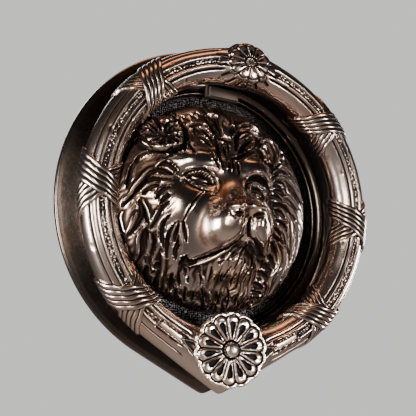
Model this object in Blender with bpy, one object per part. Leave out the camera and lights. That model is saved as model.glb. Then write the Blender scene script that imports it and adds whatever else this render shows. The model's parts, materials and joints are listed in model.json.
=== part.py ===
"""Lion-mask door knocker: a cast teardrop back plate, a lion mask screwed to it, and a ring that
swings on a hinge pin at the top. Metres, +Z up. The door face is the plane Y = 0, the knocker
stands in front of it towards -Y, and the studs pass through the door towards +Y.
The origin is the centre of the plate's round part, on the door face."""

from math import acos, cos, exp, pi, radians, sin, sqrt, tau

import bmesh
import bpy
from mathutils import Matrix, Vector

MM = 0.001

# Driving dimensions, in millimetres. A depth is measured forward from the door face.
PLATE_RADIUS = 85.5
PLATE_TIP = 96.4
RIM_RADIUS = 61.5
GROUND_DEPTH = 4.0
CREST_DEPTH = 9.3

RING_RADIUS = 72.0
ROD_RADIUS = 8.9
RING_TIP = 94.0
RING_LEAN = radians(3.0)
RIBBON_ANGLES = (45.0, 90.0, 135.0)
RIBBON_HALF_LENGTH = 14.0
RIBBON_THICK = 0.9
SWELLING = 2.4
SWELLING_LENGTH = 13.0
PIN_HEIGHT = 72.5
PIN_DEPTH = 14.6
RING_FORWARD = 13.0
RING_BELOW = 73.9

HEAD_RADIUS = 55.0
HEAD_DOME = 23.0
HEAD_WALL = 3.6

ROSE_BELOW = 146.0
ROSE_RADIUS = 18.2
ROSE_PETALS = 14
DOOR_THICKNESS = 44.0
GAP = 0.3

# Fasteners
STUD_RADIUS = 3.0
STUD_HEIGHT = 26.0
STUD_LENGTH = 64.0
STUD_SOCKET = 9.0
BOSS_RADIUS = 7.0
BOSS_DEPTH = 12.0
WASHER_RADIUS = 9.0
WASHER_THICK = 1.6
NUT_FLATS = 10.0
NUT_THICK = 5.0
MASK_SCREW_CIRCLE = 40.0
MASK_SCREW_ANGLES = (60.0, 180.0, 300.0)
MASK_SCREW_LENGTH = 14.0
MASK_BOSS_RADIUS = 4.5
SCREW_RADIUS = 2.0
SCREW_HEAD_RADIUS = 3.8
SCREW_HEAD_DEPTH = 2.0
SLOT_WIDTH = 1.0
SLOT_DEPTH = 0.9

# Hinge bracket, pin and retainer
BRACKET_HALF_WIDTH = 9.5
BRACKET_LOW = 58.5
BRACKET_HIGH = 77.5
SEAT_DEPTH = 7.6
BASE_TOP = 10.3
NOSE_TOP = 13.4
NOSE_HIGH = 64.0
EAR_INNER = 4.9
EAR_OUTER = 8.7
EAR_RADIUS = 3.8
PIN_RADIUS = 1.8
PIN_HEAD_RADIUS = 3.2
PIN_HEAD_THICK = 1.4
PIN_TAIL = 12.2
BRACKET_SCREW_SPREAD = 5.6
BRACKET_SCREW_HEIGHT = 61.4
BRACKET_SCREW_LENGTH = 11.5

# Striker and anvil. The striker's tip stops just clear of the anvil when the ring is at rest.
FACET_DEPTH = 7.2
ANVIL_RADIUS = 5.0
ANVIL_TOP = 9.4
STRIKER_TIP = (ANVIL_TOP + 1.2 * GAP - PIN_DEPTH + ROSE_BELOW * sin(RING_LEAN)) / cos(RING_LEAN)
STRIKE_BELOW = ROSE_BELOW * cos(RING_LEAN) + STRIKER_TIP * sin(RING_LEAN) - PIN_HEIGHT
ANVIL_STEM_RADIUS = 2.2
RIVET_RADIUS = 2.25
RIVET_HEAD_RADIUS = 3.7
STRIKER_RADIUS = 4.4
SEAT_RELIEF = 3.0

RING_SECTIONS = 96
RING_SIDES = 14
PLATE_STEPS = 84
HEAD_STEPS = 48
ROUND_STEPS = 20

BRONZE = (0.42, 0.26, 0.15, 1.0)
DARK_BRONZE = (0.27, 0.17, 0.10, 1.0)
BRIGHT_BRASS = (0.62, 0.47, 0.26, 1.0)
STEEL = (0.55, 0.55, 0.56, 1.0)


def clear_scene():
    for leftover in list(bpy.data.objects):
        bpy.data.objects.remove(leftover)


def metal(name, color, roughness):
    material = bpy.data.materials.new(name)
    material.use_nodes = True
    shader = material.node_tree.nodes["Principled BSDF"]
    shader.inputs["Base Color"].default_value = color
    shader.inputs["Metallic"].default_value = 1.0
    shader.inputs["Roughness"].default_value = roughness
    return material


def at(across, depth, height):
    """A point from millimetres: across to the right, depth forward from the door, height up."""
    return Vector((across, -depth, height)) * MM


def finish_mesh(name, bm, material=None):
    """Closes up a bmesh as an object with outward faces and smooth rounds."""
    bmesh.ops.remove_doubles(bm, verts=bm.verts, dist=1e-6)
    bmesh.ops.recalc_face_normals(bm, faces=bm.faces)
    mesh = bpy.data.meshes.new(name)
    bm.to_mesh(mesh)
    bm.free()
    mesh.shade_smooth()
    mesh.set_sharp_from_angle(angle=radians(35))
    piece = bpy.data.objects.new(name, mesh)
    bpy.context.scene.collection.objects.link(piece)
    if material is not None:
        mesh.materials.append(material)
    return piece


def skin(name, loops, material=None, closed=False):
    """Joins equal loops of points into one body: capped at both ends, or closed on itself."""
    bm = bmesh.new()
    rows = [[bm.verts.new(point) for point in loop] for loop in loops]
    pairs = list(zip(rows, rows[1:]))
    if closed:
        pairs.append((rows[-1], rows[0]))
    else:
        bm.faces.new(rows[0])
        bm.faces.new(rows[-1])
    for near, far in pairs:
        for index in range(len(near)):
            following = (index + 1) % len(near)
            bm.faces.new((near[index], near[following], far[following], far[index]))
    return finish_mesh(name, bm, material)


def turned(name, profile, center, material=None, axis="Y", steps=ROUND_STEPS, closed=False):
    """A solid of revolution. The profile lists (radius, place along the axis) in millimetres.
    Along Y the place is a depth forward from the door; along X it is to the right. A closed
    profile makes a ring with a hole through it."""
    loops = []
    for radius, place in profile:
        loop = []
        for step in range(steps):
            angle = tau * (step + 0.5) / steps
            first, second = radius * cos(angle), radius * sin(angle)
            if axis == "Y":
                loop.append(at(center[0] + first, place, center[1] + second))
            else:
                loop.append(at(place, center[0] + first, center[1] + second))
        loops.append(loop)
    return skin(name, loops, material, closed)


def block(name, low, high, material=None):
    """A box between two corners given as (across, depth, height)."""
    loops = []
    for depth in (low[1], high[1]):
        corners = ((low[0], low[2]), (high[0], low[2]), (high[0], high[2]), (low[0], high[2]))
        loops.append([at(across, depth, height) for across, height in corners])
    return skin(name, loops, material)


def combine(target, tool, operation):
    """Applies one exact Boolean to the target and removes the tool."""
    modifier = target.modifiers.new("combine", "BOOLEAN")
    modifier.object = tool
    modifier.operation = operation
    modifier.solver = "EXACT"
    graph = bpy.context.evaluated_depsgraph_get()
    result = bpy.data.meshes.new_from_object(target.evaluated_get(graph))
    target.modifiers.clear()
    target.data = result
    bpy.data.objects.remove(tool)


def soft_corner(angle, width=0.03):
    """The size of an angle, with its sharp corner at zero rounded off."""
    return sqrt(angle * angle + width * width) - width * 0.3


def teardrop(angle, radius, tip, point=1.0):
    """Distance from the centre to a circle whose tangents meet at the tip, straight down.
    The angle is measured from straight down; point fades the corner away as it goes to 0."""
    reach = acos(radius / tip) * point
    return radius / cos(max(0.0, reach - soft_corner(abs(angle))))


def plate_loop(radius, point, depth):
    tip = radius * PLATE_TIP / PLATE_RADIUS
    loop = []
    for step in range(PLATE_STEPS):
        angle = tau * step / PLATE_STEPS - pi
        reach = teardrop(angle, radius, tip, point)
        loop.append(at(reach * sin(angle), depth, -reach * cos(angle)))
    return loop


def mask_screw_places():
    return [
        (MASK_SCREW_CIRCLE * sin(radians(angle)), MASK_SCREW_CIRCLE * cos(radians(angle)))
        for angle in MASK_SCREW_ANGLES
    ]


def make_back_plate(material):
    """One casting: flat bearing rim, relief groove behind, sloped side, rolled rim and ground."""
    relief = 5.2
    profile = (
        (66.0, 0.0, 0.0),
        (67.0, 0.1, relief),
        (72.0, 0.4, relief - 0.6),
        (78.0, 1.0, 2.6),
        (79.6, 1.0, 0.0),
        (PLATE_RADIUS, 1.0, 0.0),
        (PLATE_RADIUS, 1.0, 2.3),
        (PLATE_RADIUS - 0.9, 1.0, 3.2),
        (PLATE_RADIUS - 4.5, 0.98, 5.1),
        (PLATE_RADIUS - 9.5, 0.85, 7.3),
        (PLATE_RADIUS - 14.0, 0.5, 8.8),
        (67.6, 0.15, CREST_DEPTH),
        (65.4, 0.05, CREST_DEPTH - 0.2),
        (63.4, 0.0, CREST_DEPTH - 1.3),
        (62.2, 0.0, CREST_DEPTH - 3.0),
        (RIM_RADIUS, 0.0, CREST_DEPTH - 3.3),
        (RIM_RADIUS - 0.6, 0.0, GROUND_DEPTH + 0.8),
        (RIM_RADIUS - 1.6, 0.0, GROUND_DEPTH),
    )
    loops = [plate_loop(*level) for level in profile]
    plate = skin("back_plate", loops, material)
    for height in (STUD_HEIGHT, -STUD_HEIGHT):
        boss = turned("boss", ((BOSS_RADIUS, 1.0), (BOSS_RADIUS, BOSS_DEPTH)), (0.0, height))
        combine(plate, boss, "UNION")
        socket = ((STUD_RADIUS + GAP, -1.0), (STUD_RADIUS + GAP, STUD_SOCKET + GAP))
        combine(plate, turned("socket", socket, (0.0, height)), "DIFFERENCE")
    for place in mask_screw_places() + bracket_screw_places():
        combine(plate, screw_hole(place, CREST_DEPTH + 2.0), "DIFFERENCE")
    pocket = block(
        "pocket",
        (-BRACKET_HALF_WIDTH - GAP, SEAT_DEPTH, BRACKET_LOW - GAP),
        (BRACKET_HALF_WIDTH + GAP, CREST_DEPTH + 3.0, BRACKET_HIGH + GAP),
    )
    combine(plate, pocket, "DIFFERENCE")
    facet_half, facet_top = 15.0, -STRIKE_BELOW + 7.0
    facet = block(
        "facet",
        (-facet_half, FACET_DEPTH, -PLATE_TIP - 3.0),
        (facet_half, CREST_DEPTH + 3.0, facet_top),
    )
    combine(plate, facet, "DIFFERENCE")
    stem = ((ANVIL_STEM_RADIUS + GAP, -1.0), (ANVIL_STEM_RADIUS + GAP, CREST_DEPTH + 2.0))
    combine(plate, turned("stem_hole", stem, (0.0, -STRIKE_BELOW)), "DIFFERENCE")
    return plate


def screw_hole(place, top):
    """A clearance hole from the back with a countersink for a flat head."""
    radius, head = SCREW_RADIUS + GAP, SCREW_HEAD_RADIUS + GAP
    profile = ((head, -1.0), (head, 0.4), (radius, SCREW_HEAD_DEPTH + 0.4), (radius, top))
    return turned("screw_hole", profile, place)


def make_flat_screw(name, place, length, material):
    """A slotted countersunk machine screw, driven from behind."""
    profile = (
        (SCREW_HEAD_RADIUS, 0.1),
        (SCREW_HEAD_RADIUS, 0.4),
        (SCREW_RADIUS, SCREW_HEAD_DEPTH + 0.4),
        (SCREW_RADIUS, length - 0.6),
        (SCREW_RADIUS - 0.6, length),
    )
    screw = turned(name, profile, place, material)
    slot = block(
        "slot",
        (place[0] - SCREW_HEAD_RADIUS - 1.0, -0.5, place[1] - SLOT_WIDTH / 2),
        (place[0] + SCREW_HEAD_RADIUS + 1.0, SLOT_DEPTH, place[1] + SLOT_WIDTH / 2),
    )
    combine(screw, slot, "DIFFERENCE")
    return screw


def bracket_screw_places():
    return [(side * BRACKET_SCREW_SPREAD, BRACKET_SCREW_HEIGHT) for side in (-1, 1)]


def bump(across, height, center, width, amount):
    """A smooth round swelling of the mask, fading away at about two widths."""
    distance = (across - center[0]) ** 2 + (height - center[1]) ** 2
    return amount * exp(-distance / (width * width))


def mask_depth(across, height):
    """How far the mask's face stands forward from the door, before its edge closes on the plate."""
    share = min(1.0, sqrt(across * across + height * height) / HEAD_RADIUS)
    depth = GROUND_DEPTH + GAP + HEAD_DOME * (1.0 - share**2.6) ** 0.6
    depth += bump(across, height, (0.0, -12.0), 17.0, 13.0)
    depth += bump(across, height, (0.0, -7.0), 8.0, 7.0)
    for side in (-1, 1):
        depth += bump(across, height, (side * 14.0, 17.0), 9.0, 3.5)
        depth -= bump(across, height, (side * 17.5, 9.0), 6.0, 5.0)
        depth += bump(across, height, (side * 12.0, -16.0), 9.0, 3.0)
    return depth


def make_lion_head(material):
    """A hollow cast mask, open at the back, with three screw bosses inside."""
    shares = (0.1, 0.2, 0.3, 0.4, 0.5, 0.6, 0.7, 0.8, 0.88, 0.94, 0.985)
    foot = GROUND_DEPTH + GAP

    def loop(share, inset):
        points = []
        for step in range(HEAD_STEPS):
            angle = tau * step / HEAD_STEPS
            across, height = share * HEAD_RADIUS * sin(angle), share * HEAD_RADIUS * cos(angle)
            shrink = 1.0 - inset * (1.0 + 0.6 * share) / HEAD_RADIUS
            depth = max(foot, mask_depth(across, height) - inset)
            points.append(at(across * shrink, depth, height * shrink))
        return points

    def foot_loop(radius):
        angles = [tau * step / HEAD_STEPS for step in range(HEAD_STEPS)]
        return [at(radius * sin(angle), foot, radius * cos(angle)) for angle in angles]

    loops = [loop(share, 0.0) for share in shares]
    loops.append(foot_loop(HEAD_RADIUS))
    loops.append(foot_loop(HEAD_RADIUS - HEAD_WALL - 1.0))
    loops += [loop(share, HEAD_WALL) for share in reversed(shares[:-2])]
    head = skin("lion_head", loops, material)
    for place in mask_screw_places():
        top = mask_depth(*place) - 5.0
        boss = turned("boss", ((MASK_BOSS_RADIUS, foot), (MASK_BOSS_RADIUS, top)), place)
        combine(head, boss, "UNION")
        hole_top = MASK_SCREW_LENGTH + 2 * GAP
        hole = ((SCREW_RADIUS + GAP, foot - 1.0), (SCREW_RADIUS + GAP, hole_top))
        combine(head, turned("hole", hole, place), "DIFFERENCE")
    return head


def make_hinge_bracket(material):
    """Base plate in the rim's pocket, a raised nose that takes the screws, and two ears."""
    base = SEAT_DEPTH + GAP
    wide = BRACKET_HALF_WIDTH
    bracket = block("hinge_bracket", (-wide, base, BRACKET_LOW), (wide, BASE_TOP, BRACKET_HIGH), material)
    nose = block("nose", (-wide, base + 1, BRACKET_LOW), (wide, NOSE_TOP, NOSE_HIGH))
    combine(bracket, nose, "UNION")
    for side in (-1, 1):
        inner, outer = side * EAR_INNER, side * EAR_OUTER
        near, far = min(inner, outer), max(inner, outer)
        center = (PIN_DEPTH, PIN_HEIGHT)
        eye = turned("eye", ((EAR_RADIUS, near), (EAR_RADIUS, far)), center, axis="X")
        foot = block(
            "foot",
            (near, base + 1, PIN_HEIGHT - EAR_RADIUS),
            (far, PIN_DEPTH, PIN_HEIGHT + EAR_RADIUS),
        )
        combine(eye, foot, "UNION")
        combine(bracket, eye, "UNION")
    bore = PIN_RADIUS + GAP
    cutter = turned("bore", ((bore, -20.0), (bore, 20.0)), (PIN_DEPTH, PIN_HEIGHT), axis="X")
    combine(bracket, cutter, "DIFFERENCE")
    for place in bracket_screw_places():
        hole = ((SCREW_RADIUS + GAP, base - 1.0), (SCREW_RADIUS + GAP, BRACKET_SCREW_LENGTH + GAP))
        combine(bracket, turned("hole", hole, place), "DIFFERENCE")
    return bracket


def make_hinge_pin(material):
    """A headed pin through both ears and the ring's knuckle."""
    head = -EAR_OUTER - GAP
    profile = (
        (PIN_HEAD_RADIUS - 0.8, head - PIN_HEAD_THICK),
        (PIN_HEAD_RADIUS, head - PIN_HEAD_THICK + 0.6),
        (PIN_HEAD_RADIUS, head),
        (PIN_RADIUS, head),
        (PIN_RADIUS, PIN_TAIL - 0.4),
        (PIN_RADIUS - 0.4, PIN_TAIL),
    )
    return turned("hinge_pin", profile, (PIN_DEPTH, PIN_HEIGHT), material, axis="X", steps=20)


def make_pin_retainer(material):
    """A push-on cap that keeps the pin in its ears."""
    near, far = EAR_OUTER + GAP, PIN_TAIL + GAP
    bore = PIN_RADIUS + GAP
    profile = (
        (bore, far),
        (bore, near),
        (PIN_HEAD_RADIUS, near),
        (PIN_HEAD_RADIUS, far + 0.3),
        (PIN_HEAD_RADIUS - 1.2, far + 1.3),
    )
    return turned("pin_retainer", profile, (PIN_DEPTH, PIN_HEIGHT), material, axis="X", steps=20)


def ring_bulge(angle, side):
    """Extra thickness of the ring: the six ribbon bindings and the swelling at the top."""
    bound = 0.0
    for ribbon in RIBBON_ANGLES:
        offset = abs(pi - abs(angle) - radians(ribbon)) * RING_RADIUS
        bound = max(bound, min(1.0, max(0.0, (RIBBON_HALF_LENGTH - offset) / 2.0)))
    top = (pi - abs(angle)) * RING_RADIUS
    swelling = exp(-((top / SWELLING_LENGTH) ** 2)) * (1.0 + sin(side)) / 2
    return RIBBON_THICK * bound + SWELLING * swelling


def ring_point(angle, side):
    """A point on the ring's skin, in the ring's own frame, whose origin is the hinge pin.
    The angle runs round the ring from straight down, side runs round its section."""
    outer = teardrop(angle, RING_RADIUS + ROD_RADIUS, RING_TIP)
    inner = RING_RADIUS - ROD_RADIUS
    middle, half = (outer + inner) / 2, (outer - inner) / 2
    spread = ring_bulge(angle, side)
    flat = min(1.0, max(0.0, (outer - RING_RADIUS - ROD_RADIUS) / 8.0))
    reach = middle + (half + spread) * cos(side)
    forward = RING_FORWARD + (ROD_RADIUS - 1.4 * flat + spread) * sin(side)
    return at(reach * sin(angle), forward, -RING_BELOW - reach * cos(angle))


def make_knocker_ring(material):
    """The swinging ring: a round rod bent to a circle with a pointed foot, the seat of the lower
    flower, the cast flower at the top, and the knuckle that turns on the hinge pin."""
    loops = []
    for section in range(RING_SECTIONS):
        angle = tau * section / RING_SECTIONS - pi
        sides = [tau * side / RING_SIDES for side in range(RING_SIDES)]
        loops.append([ring_point(angle, side) for side in sides])
    ring = skin("knocker_ring", loops, material, closed=True)
    seat_front = RING_FORWARD + ROD_RADIUS - 2.4
    seat_back = RING_FORWARD - ROD_RADIUS + SEAT_RELIEF
    seat_radius = ROSE_RADIUS - 2.0
    seat = ((seat_radius - 1.5, seat_back), (seat_radius, seat_back + 2.0), (seat_radius, seat_front))
    combine(ring, turned("seat", seat, (0.0, -ROSE_BELOW), steps=40), "UNION")
    front_shave = ((ROSE_RADIUS + 1.2, seat_front), (ROSE_RADIUS + 1.2, seat_front + 12.0))
    combine(ring, turned("shave", front_shave, (0.0, -ROSE_BELOW), steps=40), "DIFFERENCE")
    back_shave = ((STRIKER_RADIUS + 1.0, -12.0), (STRIKER_RADIUS + 1.0, seat_back))
    combine(ring, turned("shave", back_shave, (0.0, -ROSE_BELOW)), "DIFFERENCE")
    bore = ((RIVET_RADIUS + GAP, -20.0), (RIVET_RADIUS + GAP, 40.0))
    combine(ring, turned("rivet_bore", bore, (0.0, -ROSE_BELOW)), "DIFFERENCE")
    flower = ((10.2, RING_FORWARD), (10.2, 22.2), (9.0, 23.4), (3.0, 23.8), (2.4, 24.6), (1.0, 25.0))
    combine(ring, turned("flower", flower, (0.0, 0.6), steps=28), "UNION")
    knuckle_half = EAR_INNER - GAP - 0.1
    barrel = ((EAR_RADIUS, -knuckle_half), (EAR_RADIUS, knuckle_half))
    knuckle = turned("barrel", barrel, (0.0, 0.0), axis="X")
    web = block(
        "web",
        (-knuckle_half, 0.0, -EAR_RADIUS + 0.4),
        (knuckle_half, RING_FORWARD, EAR_RADIUS - 0.4),
    )
    combine(knuckle, web, "UNION")
    combine(ring, knuckle, "UNION")
    pin_bore = PIN_RADIUS + GAP
    cutter = turned("pin_bore", ((pin_bore, -20.0), (pin_bore, 20.0)), (0.0, 0.0), axis="X")
    combine(ring, cutter, "DIFFERENCE")
    return ring


def make_lower_rosette(material):
    """A domed flower with scalloped petals, pierced for its rivet."""
    back = RING_FORWARD + ROD_RADIUS - 2.4 + GAP
    steps = ROSE_PETALS * 3

    def petal_loop(radius, forward, scallop):
        points = []
        for step in range(steps):
            angle = tau * step / steps
            reach = radius - scallop * abs(sin(angle * ROSE_PETALS / 2)) ** 3
            points.append(at(reach * sin(angle), forward, -ROSE_BELOW + reach * cos(angle)))
        return points

    bore = RIVET_RADIUS + GAP
    loops = [
        petal_loop(bore, back + 3.2, 0.0),
        petal_loop(bore, back, 0.0),
        petal_loop(ROSE_RADIUS - 0.6, back, 0.9),
        petal_loop(ROSE_RADIUS, back + 1.2, 1.0),
        petal_loop(ROSE_RADIUS - 0.8, back + 2.6, 1.0),
        petal_loop(ROSE_RADIUS - 4.0, back + 3.9, 0.5),
        petal_loop(5.0, back + 3.9, 0.0),
    ]
    return skin("lower_rosette", loops, material, closed=True)


def make_striker_rivet(material):
    """The rivet that holds the flower: its domed tail is the striker behind the ring."""
    front = RING_FORWARD + ROD_RADIUS - 2.4 + GAP + 3.2 + GAP + 0.8
    back = RING_FORWARD - ROD_RADIUS + SEAT_RELIEF - GAP
    profile = (
        (1.6, STRIKER_TIP),
        (STRIKER_RADIUS - 0.9, STRIKER_TIP + 0.4),
        (STRIKER_RADIUS, STRIKER_TIP + 1.4),
        (STRIKER_RADIUS, back),
        (RIVET_RADIUS, back),
        (RIVET_RADIUS, front),
        (RIVET_HEAD_RADIUS, front),
        (RIVET_HEAD_RADIUS, front + 0.6),
        (RIVET_HEAD_RADIUS - 0.9, front + 1.6),
        (1.4, front + 2.1),
    )
    return turned("striker_rivet", profile, (0.0, -ROSE_BELOW), material)


def make_anvil_button(material):
    """The hardened button that the striker lands on, with a stem through the plate."""
    profile = (
        (ANVIL_STEM_RADIUS, 0.4),
        (ANVIL_STEM_RADIUS, FACET_DEPTH + GAP),
        (ANVIL_RADIUS, FACET_DEPTH + GAP),
        (ANVIL_RADIUS, ANVIL_TOP - 0.5),
        (ANVIL_RADIUS - 0.6, ANVIL_TOP),
    )
    return turned("anvil_button", profile, (0.0, -STRIKE_BELOW), material)


def make_mounting_stud(name, height, material):
    profile = (
        (STUD_RADIUS - 0.6, -STUD_LENGTH + STUD_SOCKET),
        (STUD_RADIUS, -STUD_LENGTH + STUD_SOCKET + 0.6),
        (STUD_RADIUS, STUD_SOCKET - 0.6),
        (STUD_RADIUS - 0.6, STUD_SOCKET),
    )
    return turned(name, profile, (0.0, height), material)


def make_washer(name, height, material):
    near, far = -DOOR_THICKNESS, -DOOR_THICKNESS - WASHER_THICK
    bore = STUD_RADIUS + GAP
    profile = ((bore, far), (WASHER_RADIUS, far), (WASHER_RADIUS, near), (bore, near))
    return turned(name, profile, (0.0, height), material, closed=True)


def make_nut(name, height, material):
    near = -DOOR_THICKNESS - WASHER_THICK - GAP
    corner = NUT_FLATS / sqrt(3.0)
    nut = turned(name, ((corner, near - NUT_THICK), (corner, near)), (0.0, height), material, steps=6)
    bore = STUD_RADIUS + GAP
    cutter = turned("nut_bore", ((bore, near - NUT_THICK - 1.0), (bore, near + 1.0)), (0.0, height))
    combine(nut, cutter, "DIFFERENCE")
    return nut


def hang_ring(pieces):
    """Places the swinging pieces on the hinge pin, leaning back until the striker lands."""
    hinge = bpy.data.objects.new("ring_hinge", None)
    bpy.context.scene.collection.objects.link(hinge)
    hinge.location = at(0.0, PIN_DEPTH, PIN_HEIGHT)
    hinge.rotation_euler = (RING_LEAN, 0.0, 0.0)
    for piece in pieces:
        piece.parent = hinge
        piece.matrix_parent_inverse = Matrix.Identity(4)


def main():
    clear_scene()
    make_back_plate(metal("plate_bronze", BRONZE, 0.38))
    make_lion_head(metal("mask_bronze", BRONZE, 0.28))
    hardware = metal("dark_fixings", DARK_BRONZE, 0.4)
    steel = metal("zinc_steel", STEEL, 0.35)
    for number, place in enumerate(mask_screw_places(), start=1):
        make_flat_screw(f"mask_screw_{number}", place, MASK_SCREW_LENGTH, hardware)
    make_hinge_bracket(metal("bracket_bronze", DARK_BRONZE, 0.42))
    for side, place in zip(("left", "right"), bracket_screw_places()):
        make_flat_screw(f"bracket_screw_{side}", place, BRACKET_SCREW_LENGTH, hardware)
    make_hinge_pin(metal("pin_steel", STEEL, 0.3))
    make_pin_retainer(metal("retainer_steel", STEEL, 0.35))
    make_anvil_button(metal("anvil_brass", BRIGHT_BRASS, 0.3))
    swinging = (
        make_knocker_ring(metal("ring_bronze", BRONZE, 0.3)),
        make_lower_rosette(metal("rosette_brass", BRIGHT_BRASS, 0.28)),
        make_striker_rivet(metal("rivet_brass", BRIGHT_BRASS, 0.32)),
    )
    hang_ring(swinging)
    for name, height in (("upper", STUD_HEIGHT), ("lower", -STUD_HEIGHT)):
        make_mounting_stud(f"mounting_stud_{name}", height, steel)
        make_washer(f"stud_washer_{name}", height, steel)
        make_nut(f"stud_nut_{name}", height, steel)


main()
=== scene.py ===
"""Looks of the lion-mask door knocker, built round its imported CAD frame. Metres, +Z up, and the
door face is the plane Y = 0. Shapes are worked out in millimetres: across to the right, depth
forward from the door, and height."""

import json
from math import acos, cos, pi, radians, sin, sqrt, tau

import bpy
import numpy as np
from mathutils import Matrix, Vector


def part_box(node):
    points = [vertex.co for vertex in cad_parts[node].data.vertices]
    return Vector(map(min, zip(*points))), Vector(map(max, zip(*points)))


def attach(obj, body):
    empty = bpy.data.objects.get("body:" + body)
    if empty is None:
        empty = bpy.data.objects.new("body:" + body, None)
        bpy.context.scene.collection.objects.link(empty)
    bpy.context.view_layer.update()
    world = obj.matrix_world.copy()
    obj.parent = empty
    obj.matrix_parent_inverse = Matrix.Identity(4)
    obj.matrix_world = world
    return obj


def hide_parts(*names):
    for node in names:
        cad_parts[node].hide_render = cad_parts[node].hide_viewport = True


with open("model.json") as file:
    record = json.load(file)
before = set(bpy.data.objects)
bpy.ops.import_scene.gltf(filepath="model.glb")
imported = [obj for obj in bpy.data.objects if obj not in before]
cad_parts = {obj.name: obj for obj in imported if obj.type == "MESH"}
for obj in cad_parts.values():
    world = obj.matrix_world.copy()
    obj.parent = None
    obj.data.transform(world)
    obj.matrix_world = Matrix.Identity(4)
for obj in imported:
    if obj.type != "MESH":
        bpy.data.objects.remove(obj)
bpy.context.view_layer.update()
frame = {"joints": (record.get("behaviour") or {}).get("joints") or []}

MM = 0.001

# Sizes taken from the frame, in millimetres.
plate_low, plate_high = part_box("back_plate")
rose_low, rose_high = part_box("lower_rosette")
hinge = frame["joints"][0]
PLATE_RADIUS = plate_high.x / MM
PLATE_TIP = -plate_low.z / MM
HEAD_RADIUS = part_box("lion_head")[1].x / MM
ROSE_RADIUS = (rose_high.x - rose_low.x) / MM / 2.0
PIN_DEPTH = -hinge["pos_m"][1] / MM
PIN_HEIGHT = hinge["pos_m"][2] / MM

# The rest repeats the design that the frame was built to.
GROUND_DEPTH = 4.0
CREST_DEPTH = 9.3
RIM_RADIUS = 61.5
BEARING_RADIUS = 66.0
HOLLOW_DEPTH = 5.2
GROUND_INNER, GROUND_OUTER = 47.0, 61.0
RING_RADIUS = 72.0
ROD_RADIUS = 8.9
RING_TIP = 94.0
RING_LEAN = radians(3.0)
RING_FORWARD = 13.0
RING_BELOW = 73.9
ROSE_BELOW = 146.0
ROSE_PETALS = 14
SWELLING = 2.4
SWELLING_LENGTH = 13.0
HEAD_DOME = 23.0
HEAD_WALL = 3.6
FOOT_DEPTH = 4.3
RIBBON_ANGLES = (45.0, 90.0, 135.0)
FLOWER_HEIGHT = -1.6
FLOWER_RADIUS = 10.4
TOP_PETALS = 11
GAP = 0.3
STUD_RADIUS = 3.0
STUD_HEIGHT = 26.0
STUD_BACK = -55.0
STUD_SOCKET = 9.0
STUD_BOSS_RADIUS = 7.0
STUD_BOSS_TOP = 12.0
DOOR_THICKNESS = 44.0
WASHER_RADIUS = 9.0
WASHER_THICK = 1.6
NUT_FLATS = 10.0
NUT_THICK = 5.0
SCREW_RADIUS = 2.0
SCREW_HEAD_RADIUS = 3.8
SCREW_HEAD_DEPTH = 2.0
MASK_SCREW_CIRCLE = 40.0
MASK_SCREW_ANGLES = (60.0, 180.0, 300.0)
MASK_SCREW_TOP = 14.0
MASK_BOSS_RADIUS = 4.5
BRACKET_SCREW_SPREAD = 5.6
BRACKET_SCREW_HEIGHT = 61.4
BRACKET_SCREW_TOP = 11.5
BRACKET_HALF_WIDTH = 9.5
BRACKET_LOW, BRACKET_HIGH = 58.5, 77.5
SEAT_DEPTH = 7.6
BASE_TOP = 10.3
NOSE_TOP = 13.4
EAR_INNER, EAR_OUTER, EAR_RADIUS = 4.9, 8.7, 3.8
PIN_RADIUS = 1.8
PIN_HEAD_RADIUS = 3.2
PIN_TAIL = 12.2
FACET_DEPTH = 7.2
FACET_HALF_WIDTH = 15.0
FACET_TOP = -66.4
ANVIL_RADIUS = 5.0
ANVIL_TOP = 9.4
ANVIL_STEM_RADIUS = 2.2
RIVET_RADIUS = 2.25
RIVET_HEAD_RADIUS = 3.5
STRIKER_RADIUS = 4.4
ROSE_BACK = RING_FORWARD + ROD_RADIUS - 2.4 + GAP
STRIKER_TIP = (ANVIL_TOP + 1.2 * GAP - PIN_DEPTH + ROSE_BELOW * sin(RING_LEAN)) / cos(RING_LEAN)
STRIKE_BELOW = ROSE_BELOW * cos(RING_LEAN) + STRIKER_TIP * sin(RING_LEAN) - PIN_HEIGHT

# A depth in front of everything that is cut, for the ends of cutting tools.
CLEAR_DEPTH = 20.0

# Wear is found by smoothing a mesh. After each of these numbers of passes, a point that stands
# proud by the millimetres beside it counts as fully worn.
WEAR_SCALES = {8: 0.22, 60: 1.1}
WEAR_SHARE = 0.3
BACK_WEAR = 0.40


# ---------------------------------------------------------------- mesh helpers

def spots(across, depth, height):
    """Points in metres from millimetres, for numbers or equal arrays."""
    across, depth, height = np.broadcast_arrays(across, depth, height)
    return np.stack([across, -depth, height], axis=-1) * MM


def hung(points):
    """Points of the ring's own frame, whose origin is the hinge pin, placed in the row frame."""
    lean = np.array(Matrix.Rotation(RING_LEAN, 3, "X"))
    return points @ lean.T + np.array([0.0, -PIN_DEPTH, PIN_HEIGHT]) * MM


def shape(name, points, faces):
    """A closed mesh object from points and faces, turned outward."""
    mesh = bpy.data.meshes.new(name)
    mesh.from_pydata(points.reshape(-1, 3).tolist(), [], faces)
    mesh.update()
    if signed_volume(mesh) < 0.0:
        mesh.flip_normals()
    piece = bpy.data.objects.new(name, mesh)
    bpy.context.scene.collection.objects.link(piece)
    return piece


def dress(piece, body, material, replaced=(), tone=None):
    """Gives a shape its material, wear and body.
    Tone is an extra brightness for each point, below 0 where dark patina collects, and below 0 on the mask's
    edge as painted shade."""
    piece.data.shade_smooth()
    for face in piece.data.polygons:
        face.use_smooth = face.loop_total <= 4
    piece.data.set_sharp_from_angle(angle=radians(50))
    piece.data.materials.clear()
    piece.data.materials.append(metals[material])
    mark_wear_and_shade(piece.data, tone)
    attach(piece, body)
    if replaced:
        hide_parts(*replaced)


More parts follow.
